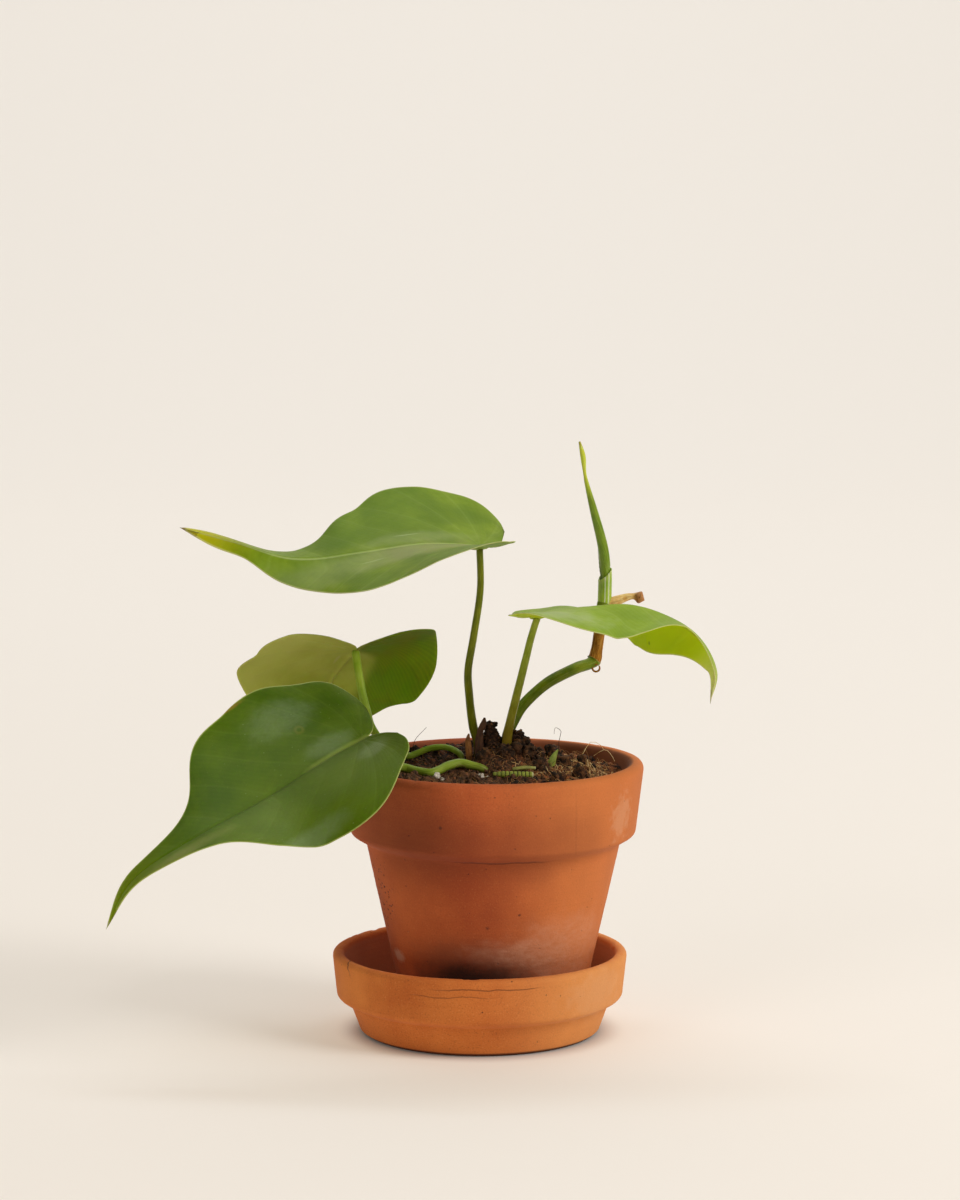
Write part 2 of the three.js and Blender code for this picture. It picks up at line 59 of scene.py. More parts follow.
# %% Curves and steps
def smooth(t):
    """0 below 0, 1 above 1 and an S-shaped step between them."""
    t = min(max(t, 0.0), 1.0)
    return t * t * (3 - 2 * t)


def eased(x, stations, values):
    value = values[0]
    for i in range(1, len(stations)):
        if x > stations[i - 1]:
            step = smooth((x - stations[i - 1]) / (stations[i] - stations[i - 1]))
            value = values[i - 1] + (values[i] - values[i - 1]) * step
    return value


class Curve:
    """A smooth cubic curve through points, with t from 0 to 1."""

    def __init__(self, points):
        self.points = [Vector(p) for p in points]

    def at(self, t):
        last = len(self.points) - 1
        i = min(int(t * last), last - 1)
        w = t * last - i
        b, c = self.points[i], self.points[i + 1]
        a = self.points[i - 1] if i > 0 else 2 * b - c
        d = self.points[i + 2] if i + 2 <= last else 2 * c - b
        return 0.5 * (2 * b + (c - a) * w + (2 * a - 5 * b + 4 * c - d) * w**2
                      + (3 * b - a - 3 * c + d) * w**3)

    def along(self, t):
        step = 1e-4
        return (self.at(min(t + step, 1)) - self.at(max(t - step, 0))).normalized()


print("middle of a trial curve:", Curve([(0, 0, 0), (1, 2, 0), (4, 0, 0)]).at(0.5))


# %% [markdown]
# ## A bent grid
# Leaves and stalks are both flat sheets in a way: a leaf is a sheet that is folded, and a stalk
# is a sheet rolled into a tube. So one helper makes a grid with a bmesh operator and moves each
# of its corners. The attribute "flat" keeps where a corner lies on the flat sheet, in
# millimetres, so that veins and fibres in the finishes follow the surface. Where the sheet meets
# itself, its corners are merged, because an open seam would show as a dark line.

# %% Bent grids
SEAM_GAP = 0.004


def new_mesh():
    mesh = bmesh.new()
    mesh.verts.layers.float_vector.new("flat")
    return mesh


def bent_grid(mesh, columns, rows, place):
    """place(i, j) gives the point and the flat place of corner i across and j along."""
    flat = mesh.verts.layers.float_vector["flat"]
    grid = bmesh.ops.create_grid(mesh, x_segments=columns, y_segments=rows, size=0.5)
    for corner in grid["verts"]:
        i = round((corner.co.x + 0.5) * columns)
        j = round((corner.co.y + 0.5) * rows)
        corner.co, corner[flat] = place(i, j)


def seal(mesh):
    """Merges the corners of seams and poles, and turns the faces outwards."""
    bmesh.ops.remove_doubles(mesh, verts=mesh.verts, dist=SEAM_GAP)
    bmesh.ops.dissolve_degenerate(mesh, edges=mesh.edges, dist=SEAM_GAP / 4)
    bmesh.ops.recalc_face_normals(mesh, faces=mesh.faces)


trial = new_mesh()
bent_grid(trial, 4, 2, lambda i, j: (Vector((i, j, 0)), Vector((i, j, 0))))
print("corners of a trial grid:", len(trial.verts))
trial.free()


# %% [markdown]
# ## Finished pieces
# A finished piece is an object at the origin with its place in its mesh. It rides on the body of
# the object and hides the plain CAD nodes that it stands for.

# %% Finished pieces
def linked(name, data):
    thing = bpy.data.objects.new(name, data)
    bpy.context.scene.collection.objects.link(thing)
    return thing


def mesh_data(mesh, name):
    data = bpy.data.meshes.new(name)
    mesh.to_mesh(data)
    mesh.free()
    return data


def piece_of(data, name, material, slot, *nodes):
    data.shade_smooth()
    data.materials.clear()
    data.materials.append(material)
    piece = linked(name, data)
    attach(piece, "root")
    if nodes:
        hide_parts(*nodes)
    print(name, "faces:", len(data.polygons))


def finished(mesh, name, material, slot, *nodes):
    """Turns a mesh in millimetres into a piece of the object that stands for its CAD nodes."""
    bmesh.ops.transform(mesh, matrix=Matrix.Scale(MM, 4), verts=mesh.verts)
    piece_of(mesh_data(mesh, name), name, material, slot, *nodes)


# %% [markdown]
# ## Shader maths
# A finish is easier to read as a sum than as a picture of wires. Link wraps one output of a
# node, and its operators add Math nodes. Every other node comes from Finish.node, which sets
# the node's own settings first and then its sockets. A colour is written as the six hex digits
# of its screen value, and tint turns it into the linear values that a shader works with.

# %% Shader maths
def tint(code):
    values = [int(code[i:i + 2], 16) / 255 for i in (0, 2, 4)]
    linear = [((v + 0.055) / 1.055) ** 2.4 if v > 0.04045 else v / 12.92 for v in values]
    return (*linear, 1)


class Link:
    """One output of a node. The operators of maths add Math nodes behind it."""

    def __init__(self, finish, socket):
        self.finish = finish
        self.socket = socket

    def maths(self, operation, *values):
        sockets = dict(enumerate((self, *values)))
        return self.finish.node("Math", {"operation": operation}, sockets)

    def __add__(self, other):
        return self.maths("ADD", other)

    def __mul__(self, other):
        return self.maths("MULTIPLY", other)

    def __sub__(self, other):
        return self.maths("SUBTRACT", other)

    def __truediv__(self, other):
        return self.maths("DIVIDE", other)

    def __rsub__(self, other):
        return self.finish.node("Math", {"operation": "SUBTRACT"}, {0: other, 1: self})

    def __abs__(self):
        return self.maths("ABSOLUTE")

    __radd__ = __add__
    __rmul__ = __mul__

    def between(self, low, high):
        """0 at low and 1 at high, with a smooth step from one to the other."""
        sockets = {"Value": self, "From Min": low, "From Max": high}
        return self.finish.node("MapRange", {"interpolation_type": "SMOOTHSTEP"}, sockets)

    def blend(self, a, b):
        """Colour a where this is 0 and colour b where it is 1."""
        return self.finish.node("Mix", {"data_type": "RGBA"}, {0: self, 6: a, 7: b}, 2)


print("a screen value of one half is", round(tint("808080")[0], 3), "in a shader")


# %% [markdown]
# ## Patterns for the finishes
# The patterns of a real surface are noise at its own scale, scattered dots, and marks that stay
# in one place. All of them read Object coordinates, in millimetres here, or the attribute
# "flat", so they hold still from every side.

# %% Finish
class Finish:
    """A material whose nodes all come from one method."""

    def __init__(self, name):
        self.material = bpy.data.materials.new(name)
        self.material.use_nodes = True
        self.tree = self.material.node_tree
        self.tree.nodes.clear()
        place = self.node("TexCoord", {}, {}, "Object")
        self.place = self.node("VectorMath", {"operation": "SCALE"}, {0: place, "Scale": 1 / MM})

    def node(self, kind, settings, sockets, output=0):
        made = self.tree.nodes.new("ShaderNode" + kind)
        for name, value in settings.items():
            setattr(made, name, value)
        for name, value in sockets.items():
            if isinstance(value, Link):
                self.tree.links.new(value.socket, made.inputs[name])
            else:
                made.inputs[name].default_value = tint(value) if isinstance(value, str) else value
        return None if output is None else Link(self, made.outputs[output])

    def vector(self, operation, a, b, output=0):
        return self.node("VectorMath", {"operation": operation}, {0: a, 1: b}, output)

    def stretched(self, x, y, z, where=None):
        return self.vector("MULTIPLY", where or self.place, (x, y, z))

    def grain(self, size, detail=2.0, where=None, rough=0.5):
        """Noise with features of about size millimetres."""
        sockets = {"Vector": where or self.place, "Scale": 1 / size, "Detail": detail,
                   "Roughness": rough}
        return self.node("TexNoise", {}, sockets)

    def lines(self, size, way, turn):
        """Fine lines along a stalk: noise that is slow along the way and quick round it."""
        return self.grain(size, 3, self.node("CombineXYZ", {}, {0: way, 1: turn}))

    def cells(self, size, where=None, output="Distance"):
        """Distance from the nearest of scattered points, in shares of size millimetres."""
        sockets = {"Vector": where or self.place, "Scale": 1 / size}
        return self.node("TexVoronoi", {}, sockets, output)

    def patch(self, centre, size, ragged=0.5, soft=0.4, where=None):
        """1 in a patch round a point, with a ragged, soft edge."""
        away = self.vector("SUBTRACT", where or self.place, centre)
        share = self.vector("DIVIDE", away, size)
        far = self.node("VectorMath", {"operation": "LENGTH"}, {0: share}, "Value")
        edge = far + (self.grain(max(size) / 3, 3) - 0.5) * ragged * 2
        return 1 - edge.between(1 - soft, 1 + soft)

    def from_axis(self, centre_x):
        """Distance from the upright axis of something thrown on a wheel."""
        flat = self.stretched(1, 1, 0, self.vector("SUBTRACT", self.place, (centre_x, 0, 0)))
        return self.node("VectorMath", {"operation": "LENGTH"}, {0: flat}, "Value")

    def parts(self, vector):
        made = self.tree.nodes.new("ShaderNodeSeparateXYZ")
        self.tree.links.new(vector.socket, made.inputs[0])
        return [Link(self, output) for output in made.outputs]

    def attribute(self, name):
        return self.node("Attribute", {"attribute_name": name}, {}, "Vector")

    def surface(self, colour, roughness, height=None, constants=None):
        """The shader itself. height is in millimetres."""
        sockets = {"Base Color": colour, "Roughness": roughness, **(constants or {})}
        if height is not None:
            sockets["Normal"] = self.node("Bump", {}, {"Distance": MM, "Height": height})
        shader = self.node("BsdfPrincipled", {}, sockets)
        self.node("OutputMaterial", {}, {"Surface": shader}, None)
        print(self.material.name, "nodes:", len(self.tree.nodes))
        return self.material


# %% [markdown]
# A painter glazes: over a ground colour lie thin tones, each where its mask is. The finishes below
# are built in the same way, with one blend for each layer. Where several marks share a tone, the
# strongest of them is the mask.

# %% Layers of colour
def layered(colour, *layers):
    """Lays tones over a colour in turn. Each layer has a mask, the mask's strength and a tone."""
    for mask, strength, tone in layers:
        colour = (mask * strength).blend(colour, tone)
    return colour


def strongest(first, *others):
    for other in others:
        first = first.maths("MAXIMUM", other)
    return first


trial = Finish("trial")
layered("000000", (trial.grain(1), 0.5, "ffffff"))
print("nodes of a trial glaze:", [node.bl_idname for node in trial.tree.nodes])
bpy.data.materials.remove(trial.material)


# %% [markdown]
# ## Camera
# The camera stands where the photographer stood, and looks seven degrees down. The place and the
# focal length were fitted to the ellipses of the two rims in the photo.

# %% Camera
CAMERA = {"place": (0, -1.35271, 0.32401), "degrees_down": 6.96, "lens": 112.65, "far": 30}

camera_data = bpy.data.cameras.new("camera")
camera_data.lens = CAMERA["lens"]
camera_data.clip_end = CAMERA["far"]
camera = linked("camera", camera_data)
camera.location = CAMERA["place"]
camera.rotation_euler = (math.radians(90 - CAMERA["degrees_down"]), 0, 0)
bpy.context.scene.camera = camera
print("camera at", CAMERA["place"])


# %% [markdown]
# ## A pale sweep
# Floor and background are one sheet that bends upwards behind the object, so there is no
# horizon. A flat plane and a wall would need the bend anyway. The sheet glows faintly, except
# under the saucer, which makes the floor as pale as in the photo and leaves the contact shadow
# dark.

# %% Sweep
SWEEP = {"front": -4.0, "bend": 1.9, "radius": 1.2, "top": 4.0, "half_width": 5.0, "steps": 24}


def sweep_mesh():
    mesh = bmesh.new()
    left, bend = -SWEEP["half_width"], SWEEP["bend"]
    side = [mesh.verts.new((left, SWEEP["front"], 0)), mesh.verts.new((left, bend, 0))]
    mesh.edges.new(side)
    spun = bmesh.ops.spin(mesh, geom=[side[1]], cent=(0, bend, SWEEP["radius"]), axis=(1, 0, 0),
                          dvec=(0, 0, 0), angle=math.pi / 2, steps=SWEEP["steps"], use_merge=False)
    end = spun["geom_last"][0]
    top = mesh.verts.new((end.co.x, end.co.y, SWEEP["top"]))
    mesh.edges.new((end, top))
    wide = bmesh.ops.extrude_edge_only(mesh, edges=mesh.edges[:])
    moved = [v for v in wide["geom"] if isinstance(v, bmesh.types.BMVert)]
    bmesh.ops.translate(mesh, verts=moved, vec=(2 * SWEEP["half_width"], 0, 0))
    bmesh.ops.recalc_face_normals(mesh, faces=mesh.faces)
    return mesh_data(mesh, "sweep")


def sweep_finish():
    finish = Finish("pale_sweep")
    saucer_edge = finish.from_axis(0).between(40, 54)
    glow = {"Emission Color": saucer_edge.blend("000000", "f6e3c9"), "Emission Strength": 0.4}
    return finish.surface("c4c4c4", 0.9, None, glow)


sweep = linked("sweep", sweep_mesh())
sweep.data.shade_smooth()
sweep.data.materials.append(sweep_finish())
print("sweep faces:", len(sweep.data.polygons))


# %% [markdown]
# ## Studio light
# A studio lights a plant with big soft boxes, which are area lights in Blender. The one on the
# right is stronger and throws a soft shadow to the left. A wide ceiling light makes the floor
# pale without lighting the pot's wall, and one light is for the background alone. A sun lamp
# would give a hard shadow, which the photo doesn't have.

# %% Lights
SOFT_BOXES = {
    "key": {"place": (1.55, -0.8, 1.25), "size": (0.8, 0.9), "watts": 27,
            "colour": (1.0, 0.95, 0.89), "target": (0, 0, 0.1)},
    "fill": {"place": (-1.2, -1.45, 0.95), "size": (0.9, 0.9), "watts": 6.8,
             "colour": (1.0, 0.96, 0.92), "target": (0, 0, 0.1)},
    "ceiling": {"place": (0, 0.4, 2.6), "size": (3.2, 3.2), "watts": 18,
                "colour": (0.99, 1.0, 1.0), "target": (0, 0.4, 0)},
    "backdrop_light": {"place": (0, 1.2, 3.0), "size": (3.0, 0.6), "watts": 47,
                       "colour": (0.93, 1.0, 1.07), "target": (0, 3.1, 1.0)},
}
ROOM = {"colour": "efe6d8", "strength": 0.12}

for name, box in SOFT_BOXES.items():
    light = bpy.data.lights.new(name, "AREA")
    light.shape = "RECTANGLE"
    light.size, light.size_y = box["size"]
    light.energy = box["watts"]
    light.color = box["colour"]
    lamp = linked(name, light)
    lamp.location = box["place"]
    aim = Vector(box["target"]) - lamp.location
    lamp.rotation_euler = aim.to_track_quat("-Z", "Y").to_euler()
    print(name, "watts:", box["watts"])

world = bpy.data.worlds.new("studio")
world.use_nodes = True
room = world.node_tree.nodes["Background"]
room.inputs["Color"].default_value = tint(ROOM["colour"])
room.inputs["Strength"].default_value = ROOM["strength"]
bpy.context.scene.world = world
bpy.context.scene.view_settings.view_transform = "Standard"


# %% [markdown]
# ## Thrown clay
# A terracotta pot and saucer are turned on a wheel, so a profile is turned about the axis with
# the Screw modifier. A profile is given by its corners, each with the radius that the potter's
# hand or the mould left on it, and the helper lays an arc into each corner. A bevel of the whole
# pot would round every corner alike.

# %% Profiles with round corners
CLAY_SPACING = 1.25


def corner_arc(before, here, after, corner):
    """Points of an arc of radius corner that touches both lines of a profile's corner."""
    before = (before - here).normalized()
    after = (after - here).normalized()
    half = before.angle(after) / 2
    start = here + before * (corner / math.tan(half))
    middle = here + (before + after).normalized() * (corner / math.sin(half))
    turned = (math.pi - 2 * half) * (1 if before.cross(after) < 0 else -1)
    steps = max(4, round(abs(turned) * corner / CLAY_SPACING * 2))
    spoke = start - middle
    return [middle + Matrix.Rotation(turned * k / steps, 2) @ spoke for k in range(steps + 1)]


def rounded(corners):
    """Points along a profile of (radius, height, corner radius), in steps of the clay spacing."""
    places = [Vector(corner[:2]) for corner in corners]
    line = []
    for i, place in enumerate(places):
        corner = corners[i][2]
        if corner == 0 or i in (0, len(corners) - 1):
            line.append(place)
        else:
            line += corner_arc(places[i - 1], place, places[i + 1], corner)
    fine = []
    for a, b in zip(line, line[1:]):
        pieces = max(1, math.ceil((b - a).length / CLAY_SPACING))
        fine += [a.lerp(b, k / pieces) for k in range(pieces)]
    return fine + [line[-1]]


print("points of a trial corner:", len(rounded([(0, 0, 0), (40, 0, 5), (40, 30, 0)])))


# %% [markdown]
# ## The wheel
# The turned profile gives the clay its body. Real clay is never quite round, so a slow wobble,
# low throwing ridges and small chips on the lip are moved into the mesh afterwards. Moving the
# corners keeps the mesh closed, which cutting chips out of it might not.

# %% Turning and wear
WHEEL_STEPS = 240
RIDGE_HEIGHT = 0.05
GRAIN_HEIGHT = 0.03
LIP_DEPTH = 2.5


def thrown(corners, centre_x, ring):
    """Turns a profile with the screw modifier. A ring profile closes on itself."""
    mesh = bmesh.new()
    line = [mesh.verts.new((r, 0, z)) for r, z in rounded(corners)]
    for a, b in zip(line, line[1:]):
        mesh.edges.new((a, b))
    if ring:
        mesh.edges.new((line[-1], line[0]))
    profile = linked("profile", mesh_data(mesh, "profile"))
    screw = profile.modifiers.new("wheel", "SCREW")
    screw.steps = screw.render_steps = WHEEL_STEPS
    screw.use_merge_vertices = True
    view = profile.evaluated_get(bpy.context.evaluated_depsgraph_get())
    mesh = new_mesh()
    mesh.from_mesh(view.to_mesh())
    view.to_mesh_clear()
    bpy.data.objects.remove(profile)
    bmesh.ops.translate(mesh, verts=mesh.verts, vec=(centre_x, 0, 0))
    seal(mesh)
    print("corners turned:", len(mesh.verts))
    return mesh


def worn(mesh, centre_x, wobble, chips, lip_height):
    """Moves the wall in and out a little, and takes small chips out of the lip."""
    mesh.normal_update()
    for v in mesh.verts:
        out = Vector((v.co.x - centre_x, v.co.y, 0))
        wave = noise.noise(out * 0.03 + Vector((0, 0, v.co.z * 0.02)))
        ridges = noise.noise(Vector((out.x * 0.01, out.y * 0.01, v.co.z * 0.9)))
        grain = noise.noise(v.co * 0.7)
        lip = smooth(1 - (lip_height - v.co.z) / LIP_DEPTH)
        chip = smooth((noise.noise(v.co * 0.32 + Vector((7, 3, 1))) - 0.42) / 0.2) * lip
        v.co += out.normalized() * (wobble * wave + RIDGE_HEIGHT * ridges)
        v.co += v.normal * (GRAIN_HEIGHT * grain - chips * chip)


# %% [markdown]
# ## Terracotta finish
# Fired clay is matt and full of small things: a mottled ground, streaks round the wheel, grains
# of sand, and pinholes. Noise at four scales gives the ground, and cells give the pinholes. An
# image would show its pixels close by, and noise doesn't.

# %% Terracotta
def clay_finish(name, light, dark, sand, marks):
    finish = Finish(name)
    mottle = finish.grain(34, 4)
    cloud = finish.grain(9, 3)
    streaks = finish.grain(1, 3, finish.stretched(0.03, 0.03, 0.9))
    grains = finish.grain(0.55, 2)
    pinholes = 1 - finish.cells(5.2).between(0.025, 0.075)
    ground = (mottle * 0.75 + cloud * 0.25).between(0.32, 0.68).blend(light, dark)
    colour = layered(
        ground,
        (streaks.between(0.5, 0.8), 0.28, dark),
        (grains.between(0.55, 0.8), 0.35, sand),
        (grains.between(0.47, 0.25), 0.3, "5e2a14"),
        (pinholes, 0.8, "3b1a0e"),
    )
    colour, rough, rise = marks(finish, colour)
    height = grains * 0.07 + streaks * 0.09 + cloud * 0.1 - pinholes * 0.22 + rise
    return finish.surface(colour, rough + grains * 0.08, height)


def crack(finish, centre, size, level, wander, width):
    """A hairline crack that runs level round the wall, inside a patch."""
    z = finish.parts(finish.place)[2]
    path = level + (finish.grain(9, 3, finish.stretched(1, 1, 0)) - 0.5) * wander
    line = 1 - abs(z - path).between(width * 0.4, width)
    return line * finish.patch(centre, size, 0.2)


# %% [markdown]
# ## Marks of the pot
# Water that creeps through the wall leaves the foot dark and a whitish bloom of salts above it.
# The marks are patches round points of the wall, because a patch stays where it is from every
# side. Some are painted light and shade: the right side and the left flank are lighter, the wall
# is darker under the collar, in its middle and on the collar's left, and inside the rim the clay
# is darker, partly damp and partly in painted shade. They are laid over the ground one after the
# other, as a painter glazes.

# %% Pot marks
POT_X = 4.8
SPECKS = [
    ((-14, -50, 84), 0.6), ((2.6, -41.5, 46), 0.8), ((14, -41, 51), 0.5), ((41, -40, 96), 0.6),
    ((-8, -41, 43), 0.5), ((24, -46, 88), 0.5),
]


def pot_marks(finish, colour):
    x, y, z = finish.parts(finish.place)
    patch = finish.patch
    foot = 1 - (z + (finish.grain(7, 4) - 0.5) * 9).between(17, 34)
    damp = patch((-4, -37, 27), (27, 16, 13), 0.35, 0.55)
    stain = patch((-4, -35, 22), (20, 16, 9), 0.3, 0.5)
    dust = finish.grain(2, 5, finish.stretched(0.6, 0.6, 1), 0.7).between(0.25, 0.8)
    bloom = (patch((32, -30, 36), (24, 20, 12), 0.6, 0.5) * 0.75
             + patch((14, -37, 36), (16, 12, 4), 0.9, 0.6) * 0.7)
    bloom = bloom.maths("MINIMUM", 1.0) * (dust * 0.5 + 0.3)
    nicks = patch((-35, -15, 54), (7, 9, 13), 0.2) * (1 - finish.cells(1.7).between(0.12, 0.3))
    scratch = crack(finish, (8, -47, 70.5), (17, 8, 4), 70.8, 1.4, 0.45)
    seam = (1 - abs(x - 34).between(0.1, 0.5)) * patch((34, -42, 84), (5, 12, 13), 0.3)
    inside = z.between(88, 90) * (1 - finish.from_axis(POT_X).between(50.2, 51.6))
    specks = [patch(place, (size, size, size), 0.9, 0.5) for place, size in SPECKS]
    colour = layered(
        colour,
        # Painted light: the right side, which faces the key light, is painted lighter.
        (x.between(-6, 40), 0.5, "d78643"),
        # Painted light: a lighter patch on the left flank of the body stands for the fill light.
        (patch((-30, -26, 52), (16, 24, 30), 0.4, 0.7), 0.3, "d87436"),
        # Painted shade under the overhang of the collar.
        (patch((-6, -50, 76), (46, 24, 12), 0.3, 0.7), 0.5, "7d3413"),
        # Inside the rim the clay is darker: partly damp, partly painted shade that deepens to the
        # right.
        (inside, 0.75, x.between(-5, 35).blend("a05638", "4a2010")),
        # Painted shade in the middle of the wall, between its two lit sides.
        (patch((-2, -45, 56), (20, 12, 17), 0.4, 0.8), 0.28, "963f16"),
        # Painted shadow of the front leaf on the left of the collar.
        (patch((-34, -40, 84), (27, 20, 22), 0.3, 0.6), 0.36, "6c2f14"),
        *[(speck, 0.7, "45200f") for speck in specks],
        (foot, 0.62, "7a3a22"),
        (damp, 0.6, "6b3118"),
        (stain, 0.88, "200a02"),
        (bloom, 0.62, "d9a283"),
        (patch((-29.5, -16.3, 31), (3, 4, 2), 0.6, 0.5), 0.5, "d9b49c"),
        (patch((51, -27, 84), (5, 6, 7), 1.2, 0.6), 0.28, "dcb08c"),
        (strongest(nicks, scratch * 0.5), 1, "4a2010"),
        (seam, 0.1, "5f2a15"),
    )
    return colour, 0.86 - damp * 0.14 + bloom * 0.1, scratch * -0.2 - nicks * 0.3


# %% [markdown]
# ## Pot
# The pot flares from a narrow foot to a heavy rolled rim, which stands over the wall in a step.
# The hole in its floor makes its profile a ring, so the last corner is joined to the first.

# %% Pot
POT_CORNERS = [
    (6, 5.8, 0), (32, 5.8, 1.1), (46.45, 70.6, 2.2), (52.1, 73.9, 2.4), (55.25, 100, 2.7),
    (49.95, 100, 2.2), (28.4, 12, 3), (6, 12, 0),
]

pot = thrown(POT_CORNERS, POT_X, ring=True)
worn(pot, POT_X, wobble=0.35, chips=0.5, lip_height=100)
pot_finish = clay_finish("pot_terracotta", "c55f2b", "a9491e", "d68850", pot_marks)
finished(pot, "clay_pot", pot_finish, "pot_clay", "pot")


# %% [markdown]
# ## Saucer
# The saucer is of a lighter clay, with three hairline cracks in its wall. Its inside is greyer,
# because water dries in it and leaves its lime. Light and shade are painted on it too: its right
# side and the left of its rim are lighter, and a dark band round its foot is a painted contact
# shadow. Its profile starts and ends on the axis, so it needs no ring.

# %% Saucer
SAUCER_CORNERS = [
    (0, 0, 0), (42.0, 0, 0.4), (44.0, 1.3, 0.7), (47.7, 11.2, 0.8), (52.35, 13.45, 2.3),
    (54.05, 30, 1.9), (50.1, 30, 1.8), (43.3, 5.5, 5), (0, 5.5, 0),
]


def saucer_marks(finish, colour):
    x, y, z = finish.parts(finish.place)
    patch = finish.patch
    wall = finish.from_axis(0) - z * 0.25
    inside = (1 - wall.between(42.9, 43.7)) * z.between(3.5, 5) * (1 - z.between(27, 29.4))
    front = crack(finish, (5, -53, 26), (22, 5, 3), 26.4, 1.6, 0.28)
    second = crack(finish, (-12, -52, 24), (15, 6, 3), 23.6, 2.2, 0.24)
    wander = (finish.grain(5, 3) - 0.5) * 4
    left = (1 - abs(x + 47.3 + wander).between(0.1, 0.4)) * patch((-47, -21, 28), (4, 5, 4.5))
    cracks = strongest(front * 0.7, second * 0.5, left)
    colour = layered(
        colour,
        # Painted light: the right side, which faces the key light, is painted lighter.
        (x.between(-6, 45), 0.55, "eaa860"),
        # Painted light: a lighter patch on the left of the rim stands for the fill light.
        (patch((-46, -22, 24), (14, 26, 10), 0.4, 0.7), 0.35, "f49a44"),
        (inside, 0.62, "bc8468"),
        # Painted shade: a dark band round the foot, as the contact shadow on the floor.
        (1 - z.between(0.6, 1.6), 0.8, "3d1c0c"),
        (patch((44, -32, 20), (14, 14, 8), 1.0, 0.7), 0.2, "e3b58c"),
        (cracks, 0.75, "52260f"),
    )
    return colour, 0.88 - inside * 0.1, cracks * -0.25


saucer = thrown(SAUCER_CORNERS, 0, ring=False)
worn(saucer, 0, wobble=0.3, chips=0.35, lip_height=30)
saucer_finish = clay_finish("saucer_terracotta", "da7c34", "c66624", "e8a05e", saucer_marks)
finished(saucer, "clay_saucer", saucer_finish, "saucer_clay", "saucer")


# %% [markdown]
# ## Height of the soil
# Potting soil is a crumbly skin over a plain body. Its height is a sum of simple shapes: a mound
# round the stems, a rise to the back, a dip on the right, low lumps, and crumbs, which are domes
# round the scattered points of cell noise. As one function of x and y it also tells where loose
# crumbs, chips and fibres lie.

# %% Height of the soil
SOIL_TOP = 96.5
MOUND = {"x": 8, "y": 8, "rise": 8.5, "rx": 11, "ry": 14}
LUMPS = 0.7
BACK_RISE = 1.6
DIP = 2.6
UNEVEN = 1.1
CRUMB_LAYERS = [(1.5, 0, 0, 4.6), (0.8, 31, 0, 2.1), (0.35, 0, 17, 1.1)]
DOME_REACH = 0.62
CRUMB_SINK = 1.5


def soil_level(x, y):
    mound = MOUND["rise"] * math.exp(-(((x - MOUND["x"]) / MOUND["rx"]) ** 2)
                                     - ((y - MOUND["y"]) / MOUND["ry"]) ** 2)
    back = BACK_RISE * smooth((y + 5) / 40)
    lumps = LUMPS * math.sin(0.33 * x + 0.21 * y + 1) * math.sin(0.41 * y - 0.12 * x)
    dip = DIP * smooth((math.hypot(x - POT_X, y) - 33) / 13) * smooth((x - 8) / 22)
    return SOIL_TOP + mound + back + lumps - dip


def crumb(x, y, size):
    """A dome of its own in each cell, from 0 to 1."""
    near = noise.voronoi(Vector((x, y, 0)) / size)[0][0]
    return math.sqrt(max(0.0, 1 - (near / DOME_REACH) ** 2))


def soil_surface(x, y):
    uneven = UNEVEN * noise.noise(Vector((x, y, 3)) * 0.14)
    crumbs = sum(rise * crumb(x + dx, y + dy, size) for rise, dx, dy, size in CRUMB_LAYERS)
    return soil_level(x, y) + uneven + crumbs - CRUMB_SINK


print("soil at the pot's axis:", round(soil_surface(POT_X, 0), 1), "mm")


# %% [markdown]
# ## Soil finish
# Wet soil is nearly black in its dents and dull brown on its crumbs. The side away from the
# stems has dried to a lighter, straw-flecked brown. A patch in front of the stems is painted
# paler, as the light that falls there. The dents come from the same noise as the bump, so colour
# and relief agree.

# %% Soil finish
def soil_finish(name, wet, dry, straw):
    finish = Finish(name)
    crumbs = finish.grain(2.2, 5, None, 0.62)
    speck = finish.parts(finish.cells(0.9, None, "Color"))[0]
    dried = finish.patch((42, 4, 98), (22, 44, 18), 0.5, 0.7)
    # Painted light: a paler patch in front of the stems, where light falls on the soil.
    paler = finish.patch((-18, -20, 97), (32, 34, 14), 0.5, 0.7)
    colour = layered(
        crumbs.between(0.42, 0.78).blend(wet, dry),
        (speck.between(0.86, 0.9), 0.5, straw),
        (dried * crumbs.between(0.4, 0.62), 0.4, straw),
        # Painted light on the soil in front of the stems.
        (paler * crumbs.between(0.3, 0.6), 0.45, "805a3c"),
    )
    height = crumbs * 0.9 + finish.grain(0.5, 2) * 0.25
    return finish.surface(colour, 0.92 - crumbs * 0.15, height, {"Specular IOR Level": 0.3})


# %% [markdown]
# ## Body of the soil
# The body is a bent grid whose rows are rings. They run from the middle out to the pot's wall,
# down along the wall, and back to the middle of the flat floor. A disc with a displacement
# modifier would leave the sides open.

# %% Body of the soil
SOIL_FLOOR = 12.3
SOIL_SECTORS = 380
SOIL_RINGS = 96
SOIL_WALL = 5
POT_INSIDE = {"radius": 29.5, "height": 16, "slope": 0.253}
FLOOR_RADIUS = POT_INSIDE["radius"] - 0.3
WALL_RADIUS = POT_INSIDE["radius"] + POT_INSIDE["slope"] * (SOIL_TOP - POT_INSIDE["height"]) - 0.2


